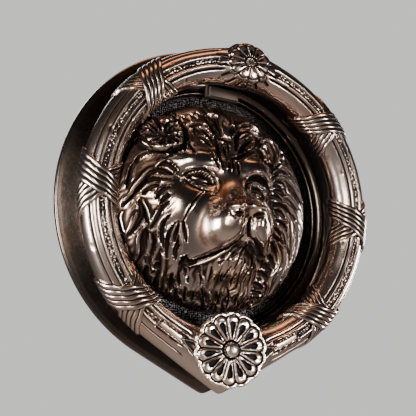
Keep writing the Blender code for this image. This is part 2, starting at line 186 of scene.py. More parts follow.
def bake(piece):
    """Applies a shape's modifiers."""
    graph = bpy.context.evaluated_depsgraph_get()
    mesh = bpy.data.meshes.new_from_object(piece.evaluated_get(graph))
    piece.modifiers.clear()
    piece.data = mesh
    return piece


def combine(piece, tool, operation="DIFFERENCE"):
    """Cuts a tool away from a piece, or joins it on; the tool is used up."""
    modifier = piece.modifiers.new("combine", "BOOLEAN")
    modifier.operation = operation
    modifier.solver = "EXACT"
    modifier.object = tool
    bake(piece)
    bpy.data.objects.remove(tool)
    return piece


def soften(piece, width):
    """Rounds a shape's sharp edges."""
    modifier = piece.modifiers.new("soften", "BEVEL")
    modifier.width = width * MM
    modifier.segments = 2
    modifier.limit_method = "ANGLE"
    modifier.angle_limit = radians(40)
    return bake(piece)


def vertex_array(mesh, field="co"):
    """The places of a mesh's vertices, or another vector that they hold."""
    values = np.empty(len(mesh.vertices) * 3)
    mesh.vertices.foreach_get(field, values)
    return values.reshape(-1, 3)


def signed_volume(mesh):
    """Six times a mesh's volume, below zero where its faces point inward."""
    mesh.calc_loop_triangles()
    corners = np.empty(len(mesh.loop_triangles) * 3, dtype=np.int32)
    mesh.loop_triangles.foreach_get("vertices", corners)
    first, second, third = vertex_array(mesh)[corners].reshape(-1, 3, 3).transpose(1, 0, 2)
    return float(np.einsum("ij,ij->i", first, np.cross(second, third)).sum())


def mark_wear_and_shade(mesh, tone):
    """Stores how proud each point stands of what surrounds it: 0 in a groove, 0.5 where flat,
    1 on an edge, with any tone added, which on the mask's edge is painted shade. The materials read it for
    dark patina, rubbed edges and that painted shade."""
    count = len(mesh.vertices)
    pairs = np.empty(len(mesh.edges) * 2, dtype=np.int32)
    mesh.edges.foreach_get("vertices", pairs)
    pairs = pairs.reshape(-1, 2)
    here = np.concatenate([pairs[:, 0], pairs[:, 1]])
    there = np.concatenate([pairs[:, 1], pairs[:, 0]])
    degree = np.maximum(np.bincount(here, minlength=count), 1)[:, None]
    places = vertex_array(mesh)
    normals = vertex_array(mesh, "normal")
    smooth = places.copy()
    wear_and_shade = np.full(count, 0.5)
    for number in range(1, max(WEAR_SCALES) + 1):
        sums = [np.bincount(here, weights=smooth[there, axis], minlength=count) for axis in range(3)]
        smooth = np.stack(sums, axis=1) / degree
        if number in WEAR_SCALES:
            proud = np.einsum("ij,ij->i", places - smooth, normals) / MM
            wear_and_shade = wear_and_shade + WEAR_SHARE * np.clip(proud / WEAR_SCALES[number], -1.0, 1.0)
    if tone is not None:
        wear_and_shade = wear_and_shade + tone.ravel()
    attribute = mesh.attributes.new("wear_and_shade", "FLOAT", "POINT")
    attribute.data.foreach_set("value", np.clip(wear_and_shade, 0.0, 1.0).astype(np.float32))


def grid_faces(rows, columns, close_rows=False):
    """Quads over a grid of points, closed round its columns, and either closed along its rows or
    capped at both ends."""
    along = rows if close_rows else rows - 1
    row, column = np.meshgrid(np.arange(along), np.arange(columns), indexing="ij")
    next_row, next_column = (row + 1) % rows, (column + 1) % columns
    corners = (
        row * columns + column,
        row * columns + next_column,
        next_row * columns + next_column,
        next_row * columns + column,
    )
    faces = np.stack(corners, axis=-1).reshape(-1, 4).tolist()
    if not close_rows:
        last = (rows - 1) * columns
        faces.append(list(range(columns)))
        faces.append([last + index for index in reversed(range(columns))])
    return faces


def smooth_line(points, steps):
    """A smooth curve through a few points (Catmull-Rom), with some steps in each span."""
    points = np.array(points, dtype=float)
    if len(points) == 2:
        shares = np.linspace(0.0, 1.0, steps + 1)[:, None]
        return points[0] * (1.0 - shares) + points[1] * shares
    padded = np.vstack([2 * points[0] - points[1], points, 2 * points[-1] - points[-2]])
    pieces = []
    for index in range(len(points) - 1):
        before, near, far, after = padded[index:index + 4]
        t = np.linspace(0.0, 1.0, steps, endpoint=False)[:, None]
        pieces.append(0.5 * (
            2 * near + (far - before) * t
            + (2 * before - 5 * near + 4 * far - after) * t**2
            + (3 * near - before - 3 * far + after) * t**3
        ))
    pieces.append(points[-1:])
    return np.vstack(pieces)


def step_up(value, low, high):
    """0 below low, 1 above high, and a smooth climb between."""
    share = np.clip((value - low) / (high - low), 0.0, 1.0)
    return share * share * (3.0 - 2.0 * share)


def window(value, low, high, soft):
    """1 between low and high, fading to 0 within soft outside them."""
    return step_up(value, low - soft, low) * (1.0 - step_up(value, high, high + soft))


def mottle(first, second, scale, seed):
    """Smooth irregular waves over a surface, between about -1 and 1, the same each run."""
    draw = np.random.default_rng(seed)
    total = np.zeros(np.broadcast(first, second).shape)
    waves = 7
    for _ in range(waves):
        heading, phase = draw.uniform(0.0, tau, 2)
        pace = tau / scale * draw.uniform(0.6, 1.5)
        total = total + np.sin((first * cos(heading) + second * sin(heading)) * pace + phase)
    return total / (0.5 * waves)


def dots(first, second, spacing, seed):
    """A field of small round bumps in a jittered grid: 1 in a bump's middle, 0 between them."""
    size, reach = 64, 0.2
    table = np.random.default_rng(seed).uniform(-0.3, 0.3, (size, size, 2))
    column, row = np.floor(first / spacing), np.floor(second / spacing)
    best = np.full(first.shape, 9.0)
    for right in (-1, 0, 1):
        for up in (-1, 0, 1):
            cell_x, cell_y = column + right, row + up
            jitter = table[cell_x.astype(int) % size, cell_y.astype(int) % size]
            away_x = first / spacing - cell_x - 0.5 - jitter[..., 0]
            away_y = second / spacing - cell_y - 0.5 - jitter[..., 1]
            best = np.minimum(best, away_x**2 + away_y**2)
    return np.clip(1.0 - best / reach, 0.0, 1.0)


# ------------------------------------------------------------------- materials

def link(tree, source, socket, target, entry):
    """Joins one node's output to another's input."""
    tree.links.new(source.outputs[socket], target.inputs[entry])


def ramp_node(tree, stops):
    """A colour ramp from (place, color) pairs."""
    node = tree.nodes.new("ShaderNodeValToRGB")
    elements = node.color_ramp.elements
    while len(elements) < len(stops):
        elements.new(0.5)
    for element, (place, color) in zip(elements, stops):
        element.position = place
        element.color = (*color, 1.0)
    return node


def texture_node(tree, kind, **values):
    """A texture laid on in the object's own space, with its inputs' values by name."""
    node = tree.nodes.new(kind)
    for name, value in values.items():
        node.inputs[name].default_value = value
    place = tree.nodes.new("ShaderNodeTexCoord")
    link(tree, place, "Object", node, "Vector")
    return node


def noise_node(tree, scale, detail):
    """Cloudy noise, with so many features in a metre."""
    return texture_node(tree, "ShaderNodeTexNoise", Scale=scale, Detail=detail, Roughness=0.55)


def math_node(tree, operation, first, second):
    """A Math node; each input is a number or a (node, socket) pair."""
    node = tree.nodes.new("ShaderNodeMath")
    node.operation = operation
    node.use_clamp = True
    for index, value in enumerate((first, second)):
        if isinstance(value, tuple):
            tree.links.new(value[0].outputs[value[1]], node.inputs[index])
        else:
            node.inputs[index].default_value = value
    return node


def multiply_node(tree, factor, first, second):
    """One colour multiplied by another, by a share; each colour is a (node, socket) pair."""
    node = tree.nodes.new("ShaderNodeMix")
    node.data_type = "RGBA"
    node.blend_type = "MULTIPLY"
    node.inputs[0].default_value = factor
    tree.links.new(first[0].outputs[first[1]], node.inputs[6])
    tree.links.new(second[0].outputs[second[1]], node.inputs[7])
    return node


def bump_node(tree, height, strength, distance, before=None):
    """A bump from a (node, socket) pair, added to one that comes before it."""
    node = tree.nodes.new("ShaderNodeBump")
    node.inputs["Strength"].default_value = strength
    node.inputs["Distance"].default_value = distance
    tree.links.new(height[0].outputs[height[1]], node.inputs["Height"])
    if before is not None:
        link(tree, before, "Normal", node, "Normal")
    return node


def uneven_wear_and_shade(tree, cloud, grain):
    """The wear and painted shade stored on the mesh, made uneven by a cloudy drift and fine specks."""
    wear_and_shade = tree.nodes.new("ShaderNodeAttribute")
    wear_and_shade.attribute_name = "wear_and_shade"
    drift = math_node(tree, "MULTIPLY", (cloud, "Fac"), 0.26)
    speck = math_node(tree, "MULTIPLY", (grain, "Fac"), 0.07)
    unrest = math_node(tree, "ADD", (drift, "Value"), (speck, "Value"))
    shifted = math_node(tree, "ADD", (wear_and_shade, "Fac"), (unrest, "Value"))
    return math_node(tree, "SUBTRACT", (shifted, "Value"), 0.165)


def pit_mask(tree):
    """1 on sound metal and 0 in small casting pits, which come in scattered groups."""
    pits = texture_node(tree, "ShaderNodeTexVoronoi", Scale=260.0)
    pit_ramp = ramp_node(tree, ((0.0, (0.0, 0.0, 0.0)), (0.16, (1.0, 1.0, 1.0))))
    link(tree, pits, "Distance", pit_ramp, "Fac")
    groups = ramp_node(tree, ((0.52, (0.0, 0.0, 0.0)), (0.60, (1.0, 1.0, 1.0))))
    link(tree, noise_node(tree, 120.0, 2.0), "Fac", groups, "Fac")
    sound = math_node(tree, "SUBTRACT", 1.0, (groups, "Color"))
    return math_node(tree, "MAXIMUM", (pit_ramp, "Color"), (sound, "Value"))


def patina_color(tree, wear_and_shade_level, dark, middle, bright, pitted, pitting):
    """Dark in the grooves, through a brown skin to bright metal, drifting from warm to cool."""
    colors = ramp_node(tree, ((0.30, dark), (0.43, middle), (0.53, bright)))
    link(tree, wear_and_shade_level, "Value", colors, "Fac")
    warm, plain, cool = (1.0, 0.88, 0.80), (1.0, 1.0, 1.0), (0.88, 0.90, 1.0)
    tint = ramp_node(tree, ((0.38, warm), (0.50, plain), (0.64, cool)))
    link(tree, noise_node(tree, 28.0, 3.0), "Fac", tint, "Fac")
    tinted = multiply_node(tree, 0.7, (colors, "Color"), (tint, "Color"))
    return multiply_node(tree, pitting, (tinted, 2), (pitted, "Value"))


def patina_roughness(tree, wear_and_shade_level, grain, polish, grime):
    """Dull where the patina is and polished where the metal is bright."""
    shine = tree.nodes.new("ShaderNodeMapRange")
    shine.inputs["From Min"].default_value = 0.30
    shine.inputs["From Max"].default_value = 0.60
    shine.inputs["To Min"].default_value = grime
    shine.inputs["To Max"].default_value = polish
    link(tree, wear_and_shade_level, "Value", shine, "Value")
    smear = math_node(tree, "MULTIPLY", (grain, "Fac"), 0.12)
    return math_node(tree, "ADD", (shine, "Result"), (smear, "Value"))


def skin_bumps(tree, cloud, grain, pitted, pitting):
    """The cast skin's fine grain, its pits and its slow waves."""
    skin = bump_node(tree, (grain, "Fac"), 0.07, 0.0002)
    pits = bump_node(tree, (pitted, "Value"), 0.5 * pitting, 0.0002, skin)
    return bump_node(tree, (cloud, "Fac"), 0.15, 0.0008, pits)


def aged_metal(name, dark, middle, bright, polish, grime, pitting=0.35):
    """Cast metal with dark patina in its grooves, a brown skin, and rubbed bright edges. Polish is
    the roughness of the bright metal and grime that of the patina."""
    material = bpy.data.materials.new(name)
    material.use_nodes = True
    tree = material.node_tree
    shader = tree.nodes["Principled BSDF"]
    shader.inputs["Metallic"].default_value = 1.0
    cloud = noise_node(tree, 70.0, 5.0)
    grain = noise_node(tree, 900.0, 3.0)
    wear_and_shade_level = uneven_wear_and_shade(tree, cloud, grain)
    pitted = pit_mask(tree)
    color = patina_color(tree, wear_and_shade_level, dark, middle, bright, pitted, pitting)
    rough = patina_roughness(tree, wear_and_shade_level, grain, polish, grime)
    bumps = skin_bumps(tree, cloud, grain, pitted, pitting)
    link(tree, color, 2, shader, "Base Color")
    link(tree, rough, "Value", shader, "Roughness")
    link(tree, bumps, "Normal", shader, "Normal")
    return material


def floor_material():
    """Plain pale grey, very slightly clouded."""
    material = bpy.data.materials.new("pale_floor")
    material.use_nodes = True
    tree = material.node_tree
    shader = tree.nodes["Principled BSDF"]
    cloud = noise_node(tree, 6.0, 3.0)
    tone = ramp_node(tree, ((0.3, (0.60, 0.60, 0.60)), (0.7, (0.66, 0.66, 0.655))))
    link(tree, cloud, "Fac", tone, "Fac")
    link(tree, tone, "Color", shader, "Base Color")
    shader.inputs["Roughness"].default_value = 0.8
    return material


BLACKENED = (0.010, 0.009, 0.010)
BROWN = (0.11, 0.07, 0.05)
BRONZE = (0.37, 0.295, 0.255)


def plate_bronze():
    """The plate is browner and darker than what stands on it."""
    middle, bright = (0.038, 0.029, 0.024), (0.09, 0.07, 0.06)
    return aged_metal("plate_bronze_aged", BLACKENED, middle, bright, 0.16, 0.22)


def ground_patina():
    """The dish's floor is nearly black, with grey on the tops of its stipple."""
    dark, middle, bright = (0.004, 0.004, 0.005), (0.010, 0.009, 0.010), (0.075, 0.068, 0.068)
    return aged_metal("ground_patina", dark, middle, bright, 0.35, 0.6)


def mask_bronze():
    """The mask is the most polished piece, with few pits."""
    return aged_metal("mask_bronze_aged", (0.018, 0.013, 0.012), BROWN, BRONZE, 0.11, 0.45, 0.15)


def ring_bronze():
    """The ring is rubbed bright by hands, and more pitted than the rest."""
    return aged_metal("ring_bronze_aged", BLACKENED, BROWN, BRONZE, 0.17, 0.5, 0.55)


def bright_brass():
    """The rosette, its rivet and the anvil are paler."""
    return aged_metal("bright_brass_aged", BLACKENED, BROWN, (0.56, 0.47, 0.41), 0.18, 0.5, 0.5)


def dark_fixings():
    """Rough dark metal for the bracket and the screws."""
    middle, bright = (0.04, 0.032, 0.027), (0.075, 0.06, 0.052)
    return aged_metal("dark_fixings_aged", BLACKENED, middle, bright, 0.5, 0.7, 0.8)


def zinc_steel():
    """Grey plated steel for the pin, studs, washers and nuts."""
    dark, middle, bright = (0.05, 0.05, 0.05), (0.22, 0.22, 0.23), (0.50, 0.50, 0.51)
    return aged_metal("zinc_steel_aged", dark, middle, bright, 0.28, 0.5, 0.2)


metals = {
    "plate": plate_bronze(), "ground": ground_patina(), "mask": mask_bronze(), "ring": ring_bronze(),
    "brass": bright_brass(), "fixings": dark_fixings(), "steel": zinc_steel(),
}


# ------------------------------------------------------------------ back plate

def soft_corner(angle):
    """The size of an angle, with its sharp corner at zero rounded off."""
    width = 0.014
    return np.sqrt(angle * angle + width * width) - width * 0.3


def teardrop(angle, radius, tip, point=1.0):
    """Distance from the centre to a circle whose tangents meet at the tip, straight down.
    The angle is measured from straight down; point fades the corner away as it goes to 0."""
    reach = acos(radius / tip) * point
    return radius / np.cos(np.maximum(0.0, reach - soft_corner(np.abs(angle))))


def mask_screw_places():
    """Where the mask's screws stand, as (across, height)."""
    spin = [radians(angle) for angle in MASK_SCREW_ANGLES]
    return [(MASK_SCREW_CIRCLE * sin(turn), MASK_SCREW_CIRCLE * cos(turn)) for turn in spin]


def bracket_screw_places():
    """Where the bracket's screws stand, as (across, height)."""
    return [(side * BRACKET_SCREW_SPREAD, BRACKET_SCREW_HEIGHT) for side in (-1, 1)]


def peg(radius, near, far, center):
    """A plain round tool between two depths."""
    return turned("peg", ((radius, near), (radius, far)), center, steps=48)


def block(name, low, high):
    """A box between two corners, each (across, depth, height)."""
    corners = [(x, y, z) for x in (low[0], high[0]) for y in (low[1], high[1]) for z in (low[2], high[2])]
    across, depth, height = np.array(corners).T
    faces = [(0, 1, 3, 2), (4, 6, 7, 5), (0, 4, 5, 1), (2, 3, 7, 6), (0, 2, 6, 4), (1, 5, 7, 3)]
    return shape(name, spots(across, depth, height), faces)


def screw_hole(center):
    """The countersunk hole for a screw that comes in from behind."""
    head = SCREW_HEAD_RADIUS + GAP
    hole = SCREW_RADIUS + GAP
    cone_end = 0.4 + SCREW_HEAD_DEPTH
    profile = ((head, -1.0), (head, 0.4 + GAP), (hole, cone_end + GAP), (hole, 12.0))
    return turned("screw_hole", profile, center, steps=48)


def plate_profile():
    """The plate's section, from the edge of the pad that bears on the door, round the rim and
    down to the dish. Each point is (radius, share of the teardrop's point, depth)."""
    pad, edge, rim, crest = BEARING_RADIUS, PLATE_RADIUS, RIM_RADIUS, CREST_DEPTH
    sections = (
        ((pad, 0.0, 0.0), (pad + 0.4, 0.05, 3.6), (pad + 1.0, 0.1, HOLLOW_DEPTH)),
        ((pad + 6.0, 0.4, HOLLOW_DEPTH - 0.6), (pad + 12.0, 1.0, 2.6)),
        ((edge - 5.9, 1.0, 0.3), (edge - 5.6, 1.0, 0.0), (edge - 0.3, 1.0, 0.0)),
        ((edge, 1.0, 0.3), (edge, 1.0, 2.0), (edge - 0.25, 1.0, 2.5)),
        (
            (edge - 1.0, 1.0, 2.75), (edge - 4.5, 0.98, 4.2), (edge - 9.5, 0.85, 6.2),
            (edge - 14.0, 0.5, 8.1), (rim + 6.1, 0.15, crest), (rim + 3.9, 0.05, crest - 0.2),
            (rim + 2.1, 0.0, crest - 1.4), (rim + 1.2, 0.0, crest - 3.2),
        ),
        ((rim + 0.8, 0.0, 5.7), (rim + 0.4, 0.0, 6.2), (rim, 0.0, 6.0)),
        ((rim - 0.4, 0.0, 4.8), (rim - 1.1, 0.0, GROUND_DEPTH - 0.4), (rim - 2.5, 0.0, GROUND_DEPTH - 0.8)),
    )
    return np.vstack([smooth_line(section, 6) for section in sections])


def cut_plate(plate):
    """Cuts the facet for the anvil, the bracket's pocket and every hole; adds the stud bosses."""
    low_end, side = -PLATE_TIP - 5.0, FACET_HALF_WIDTH
    combine(plate, block("facet", (-side, FACET_DEPTH, low_end), (side, CLEAR_DEPTH, FACET_TOP)))
    wide, low, high = BRACKET_HALF_WIDTH + GAP, BRACKET_LOW - GAP, BRACKET_HIGH + GAP
    combine(plate, block("pocket", (-wide, SEAT_DEPTH, low), (wide, CLEAR_DEPTH, high)))
    for center in mask_screw_places() + bracket_screw_places():
        combine(plate, screw_hole(center))
    for height in (-STUD_HEIGHT, STUD_HEIGHT):
        combine(plate, peg(STUD_BOSS_RADIUS, 1.0, STUD_BOSS_TOP, (0.0, height)), "UNION")
        combine(plate, peg(STUD_RADIUS + GAP, -1.0, STUD_SOCKET + GAP, (0.0, height)))
    combine(plate, peg(ANVIL_STEM_RADIUS + GAP, -1.0, 12.0, (0.0, -STRIKE_BELOW)))


def make_plate():
    """One casting: bearing rim, sloped side, rolled rim and the floor of the dish. Its slope is
    darker, and its back has one even wear."""
    steps = 420
    angles = tau * np.arange(steps) / steps - pi
    loops = []
    for radius, point, depth in plate_profile():
        reach = teardrop(angles, radius, radius * PLATE_TIP / PLATE_RADIUS, point)
        loops.append(spots(reach * np.sin(angles), depth, -reach * np.cos(angles)))
    plate = shape("plate_casting", np.stack(loops), grid_faces(len(loops), steps))
    cut_plate(plate)
    places = vertex_array(plate.data) / MM
    depth, reach = -places[:, 1], np.hypot(places[:, 0], places[:, 2])
    on_slope = window(depth, 3.6, 7.8, 0.4) * step_up(reach, RIM_RADIUS + 6.5, RIM_RADIUS + 8.5)
    dress(plate, "plate", "plate", ("back_plate",), -0.14 * on_slope)
    levels = plate.data.attributes["wear_and_shade"].data
    wear_and_shade = np.empty(len(places))
    levels.foreach_get("value", wear_and_shade)
    wear_and_shade[(depth < HOLLOW_DEPTH + 0.1) & (reach < BEARING_RADIUS + 0.6)] = BACK_WEAR
    levels.foreach_set("value", wear_and_shade)


def make_ground():
    """The stippled floor of the dish round the mask, a ring that lies on the plate's own floor."""
    rows, columns = 46, 1000
    radii = np.linspace(GROUND_INNER, GROUND_OUTER, rows)[:, None]
    angles = (tau * np.arange(columns) / columns)[None, :]
    across, height = radii * np.sin(angles), radii * np.cos(angles)
    stipple = dots(across, height, 1.15, 5) * 0.34 + 0.08 * mottle(across, height, 6.0, 6)
    edge = window(radii, GROUND_INNER + 1.0, GROUND_OUTER - 1.2, 1.0)
    top = spots(across, GROUND_DEPTH - 0.25 + stipple * edge, height)
    bottom_radii = np.array([GROUND_OUTER, GROUND_INNER])[:, None]
    bottom = spots(bottom_radii * np.sin(angles), GROUND_DEPTH - 1.2, bottom_radii * np.cos(angles))
    faces = grid_faces(rows + 2, columns, close_rows=True)
    ground = shape("stippled_ground", np.concatenate([top, bottom]), faces)
    tone = np.concatenate([1.1 * stipple - 0.30, np.zeros((2, columns))])
    dress(ground, "plate", "ground", tone=tone)


# --------------------------------------------------------------------- the mask

def bump(across, height, center, width, amount, tall=None, power=1.0):
    """A smooth swelling that fades away beyond its width; a higher power makes its sides steeper."""
    tall = width if tall is None else tall
    distance = ((across - center[0]) / width) ** 2 + ((height - center[1]) / tall) ** 2
    return amount * np.exp(-(distance**power))


def dome_depth(radius):
    """The mask's plain dome, as a depth for a distance from its middle."""
    share = np.clip(radius / HEAD_RADIUS, 0.0, 1.0)
    return FOOT_DEPTH + HEAD_DOME * (1.0 - share**2.6) ** 0.6


def near_line(across, height, line, reach):
    """Which points lie within reach of a curve, how far from it they are, their share of the way
    along it, and the length from its start."""
    path = smooth_line(line, 7)
    low, high = path.min(axis=0) - reach, path.max(axis=0) + reach
    inside = (across > low[0]) & (across < high[0]) & (height > low[1]) & (height < high[1])
    chosen = np.nonzero(inside)
    place = np.stack([across[chosen], height[chosen]], axis=-1)
    spans = path[1:] - path[:-1]
    lengths = np.maximum(np.linalg.norm(spans, axis=1), 1e-6)
    starts = np.concatenate([[0.0], np.cumsum(lengths)[:-1]])
    away = place[:, None, :] - path[None, :-1, :]
    share = np.clip(np.einsum("pij,ij->pi", away, spans) / lengths**2, 0.0, 1.0)
    gap = np.linalg.norm(away - share[..., None] * spans[None], axis=-1)
    nearest = gap.argmin(axis=1)
    index = np.arange(len(place))
    run = starts[nearest] + share[index, nearest] * lengths[nearest]
    gap = gap[index, nearest]
    keep = gap < reach
    chosen = tuple(axis[keep] for axis in chosen)
    return chosen, gap[keep], (run / lengths.sum())[keep], run[keep]


def taper(along, blunt):
    """Width of a stroke along its length: full in the middle and pointed at both ends."""
    return np.sin(pi * np.clip(along, 0.0, 1.0)) ** blunt + 1e-6


class Relief:
    """The mask's fine height over its broad form, in millimetres, and the grime in its cuts."""

    def __init__(self, across, height):
        """Starts flat and clean over a grid of places."""
        self.across, self.height = across, height
        self.rise = np.zeros(across.shape)
        self.grime = np.zeros(across.shape)

    def slot(self, width, depth, *line):
        """A steep-sided groove with a slightly raised lip, dark inside."""
        chosen, gap, along, _ = near_line(self.across, self.height, line, width * 1.1)
        half = width / 2.0 * taper(along, 0.35)
        cut = np.clip(1.0 - (gap / half) ** 2.6, 0.0, 1.0) ** 0.6
        lip = 0.22 * np.exp(-(((gap / half - 1.3) / 0.35) ** 2))
        self.rise[chosen] += (lip - cut) * depth * taper(along, 0.4)
        self.grime[chosen] = np.maximum(self.grime[chosen], np.clip(cut * 1.4, 0.0, 1.0))

    def ridge(self, width, lift, *line, beads=0.0, base=0.0):
        """A rounded strand over what lies under it, whose foot is at the base. Beads is the length
        of each twist where the strand is corded."""
        chosen, gap, along, run = near_line(self.across, self.height, line, width * 0.5)
        half = width / 2.0 * taper(along, 0.4)
        share = np.clip(1.0 - (gap / half) ** 2, 0.0, 1.0)
        own = base + lift * np.sqrt(share)
        rise, grime = self.rise[chosen], self.grime[chosen]
        if beads:
            twist = 0.5 - 0.5 * np.cos(run * tau / beads)
            own = own - 0.75 * twist**3
            grime = np.where(share > 0.0, twist**3, grime)
        over = (share > 0.0) & (own > rise)
        self.rise[chosen] = np.where(over, own, rise)
        self.grime[chosen] = np.where(over, grime * (0.9 if beads else 0.0), self.grime[chosen])


def face_share(across, height):
    """1 on the smooth polished face and 0 in the mane."""
    spread = np.abs((across + 4.5) / 28.5) ** 3 + np.abs((height + 3.0) / 27.5) ** 3
    return 1.0 - step_up(spread, 0.85, 1.15)


def broad_form(across, height):
    """How far the mask's broad forms stand forward of its dome."""
    form = bump(across, height, (0.0, -13.0), 18.0, 12.0)
    form += bump(across, height, (-9.5, -14.5), 7.5, 7.0, 10.0, 2.0)
    form += bump(across, height, (9.8, -15.0), 8.0, 8.6, 10.0, 1.8)
    above, below = np.maximum(height + 6.0, 0.0), np.minimum(height + 6.0, 0.0)
    nose_width = 9.0 - 0.25 * np.clip(above, 0.0, 16.0)
    form += 8.5 * np.exp(-((across / nose_width) ** 4) - (above / 9.0) ** 2 - (below / 4.0) ** 2)
    form += bump(across, height, (-19.0, 18.5), 11.0, 4.5, 6.5, 1.5)
    form += bump(across, height, (13.0, 18.5), 9.5, 4.5, 6.5, 1.5)
    form -= bump(across, height, (-18.5, 8.5), 8.0, 4.5, 4.8)
    form -= bump(across, height, (14.2, 8.0), 7.0, 4.5, 4.8)
    form += bump(across, height, (-28.0, -5.0), 8.0, 3.0, 10.0)
    mouth = -20.5 - 0.5 * np.abs(across + 1.0) * np.where(across < -1.0, 1.0, 0.5)
    under = step_up(mouth - height, 0.0, 3.2) * window(across, -23.0, 20.0, 3.0)
    form -= 2.6 * under * (1.0 - step_up(-height, 36.0, 48.0))
    form += bump(across, height, (1.0, -34.0), 12.0, 3.5, 6.0, 1.5)
    return form


def mane_ripple(across, height):
    """Fine strands that run out from the face and droop towards the bottom."""
    out = np.sqrt(across**2 + (height + 4.0) ** 2)
    from_top = np.arctan2(np.abs(across), height + 4.0)
    droop = 0.55 * np.clip((out - 22.0) / 26.0, 0.0, 2.0) ** 1.2 * np.sin(from_top)
    unrest = 0.06 * mottle(across, height, 22.0, 11) + 0.03 * mottle(across, height, 9.0, 12)
    ridge = np.abs(np.cos(26.0 * (from_top - droop + unrest))) ** 0.8
    strength = (0.42 + 0.28 * mottle(across, height, 14.0, 13)) * (0.45 + 0.55 * step_up(across, -12.0, 14.0))
    return strength * (ridge - 0.6) * (1.0 - 0.95 * window(height, 22.0, 60.0, 6.0))


def carve_left_eye(relief):
    """An almond eye with corded lids, whose outer fold hooks down towards the nose."""
    relief.slot(6.5, 1.5, (-28.5, 8.5), (-19.5, 10), (-11, 7))
    relief.ridge(1.3, 0.9, (-28.5, 11), (-25, 13), (-20.5, 14), (-17, 13.6), (-12, 11.5), (-10, 9),
                 (-10, 6), (-12, 2.5), (-14.5, 0.5))
    relief.slot(3.0, 1.5, (-25.5, 9.0), (-18.5, 9.0), (-12.8, 7.6))
    relief.ridge(2.0, 1.3, (-26.5, 9.2), (-24, 10.8), (-21.5, 11.6), (-18, 11.8), (-14.5, 11), (-12.5, 9.4),
                 (-12, 6.5), beads=1.5, base=-0.6)
    relief.ridge(2.0, 1.3, (-30.5, 8.5), (-26.5, 8.3), (-23.5, 7.3), (-21.5, 6), (-19.5, 4.6), (-15, 3.4),
                 beads=1.5, base=-0.5)
    relief.ridge(2.2, 1.7, (-23, 9.8), (-18.5, 9.2), (-13.6, 8.2), base=-2.4)
    relief.slot(1.0, 1.4, (-29.5, 7.2), (-25.5, 5.8), (-22.5, 4.3), (-20, 3.1), (-17, 2.2), (-13.5, 2.2))


def carve_right_eye(relief):
    """The right eye, deep under its brow: a round ball inside a ring of corded lashes."""
    middle = (13.8, 5.4)
    turns = np.radians(np.arange(-20.0, 345.0, 30.0))
    lashes = [(middle[0] + 6.0 * cos(turn), middle[1] + 4.5 * sin(turn)) for turn in turns]
    relief.slot(3.6, 2.6, (4, 5.4), (5.8, 9.6), (9.2, 12.4), (13, 13.4), (17.4, 12.6), (20.6, 10.6),
                (22.4, 7.5))
    relief.slot(8.0, 1.6, (9.5, 5.4), (18.5, 5.4))
    relief.ridge(1.9, 1.7, *lashes, beads=1.5, base=-0.4)
    relief.ridge(5.2, 2.9, (11.6, 5.4), (16.4, 5.4), base=-1.9)
    relief.ridge(1.4, 0.8, (3.8, 8.4), (6.4, 13.2), (10.6, 16.0), (15.5, 16.2), (20.8, 13.6), (24, 9.4))


def carve_brows(relief):
    """The frown lines between the brows and the edges of the forehead."""
    for low, high, place in ((13.8, 20.0, -4.0), (13.8, 22.0, -1.5), (13.0, 20.0, 1.3)):
        relief.slot(1.6, 1.8, (place, low), (place, (low + high) / 2), (place + 0.3, high))
    relief.slot(1.8, 2.0, (-15.8, 22.3), (-13.5, 18.5), (-10, 14.6))
    relief.slot(2.2, 2.2, (-10.4, 34), (-9.8, 27.5), (-10, 20.5), (-7, 14))
    relief.slot(1.4, 1.8, (-13, 25), (-11.8, 22), (-10.4, 18.5))
    relief.slot(1.6, 2.0, (-6, 22.5), (-6, 25), (-5.8, 28.4))
    relief.slot(1.4, 1.8, (-3.5, 25.6), (-3.5, 28), (-3.3, 30.4))
    relief.slot(2.0, 2.2, (-3, 21.4), (1.5, 22.5), (3.5, 24), (7, 26), (10.5, 27.4), (13, 29))
    relief.slot(1.8, 2.0, (-36, 18), (-33, 20.3), (-30.5, 22.6), (-27.5, 24.4))


def carve_nose(relief):
    """Pad, wings and nostrils, the groove below them, and the folds where the whiskers start."""
    relief.ridge(5.2, 1.7, (-10.4, -6.6), (-5, -5.2), (0, -4.8), (5, -4.8), (9, -6))
    relief.slot(3.0, 2.4, (-8.6, -10), (-6.5, -10.5), (-4.4, -10.7))
    relief.slot(3.2, 2.4, (1.6, -10.2), (4.2, -10.2), (6.8, -9.6))
    relief.slot(1.3, 1.2, (-11, -7.4), (-10, -6), (-8.8, -4.8))
    relief.slot(1.0, 0.7, (-10.6, -8), (-9.8, -11), (-7.4, -13))
    relief.slot(1.3, 1.4, (-2, -10.6), (-2, -13.8))
    relief.slot(1.6, 1.8, (1, -10.3), (0.8, -14), (1.8, -18.5), (4, -21.3))
    relief.ridge(1.1, 0.7, (-0.6, -10.5), (-0.7, -15), (0, -19.5))
    relief.ridge(1.0, 0.5, (2.6, -10.8), (3, -15), (4.2, -18.6), (8.5, -22), (14.5, -23.4))
    relief.slot(2.2, 2.2, (3.8, -20.4), (8, -23.2), (15, -25), (20.8, -26.2))
    relief.ridge(1.2, 0.8, (-1.8, -11.5), (-2.2, -15.5), (-2.8, -19), (-5.5, -22.4), (-9, -25.2))
    relief.slot(1.5, 1.5, (10.2, -6.6), (16.5, -8.6), (20.3, -13), (21, -18), (20, -23))
    relief.ridge(1.0, 0.6, (12, 1), (15, -1), (17.6, -3.6), (19.6, -8.4))
    relief.ridge(1.0, 0.6, (14.5, 2.5), (19, -1.5), (21.2, -6), (22.6, -11.5))
    relief.ridge(0.9, 0.45, (-15.5, -2), (-13, -1), (-10, -1.5))
    relief.ridge(0.9, 0.45, (-16.5, -4), (-14, -5), (-12.5, -6.3), (-10.5, -5.8))
    relief.ridge(0.9, 0.4, (-16.5, -5.5), (-14.5, -7.8), (-12, -8.2))


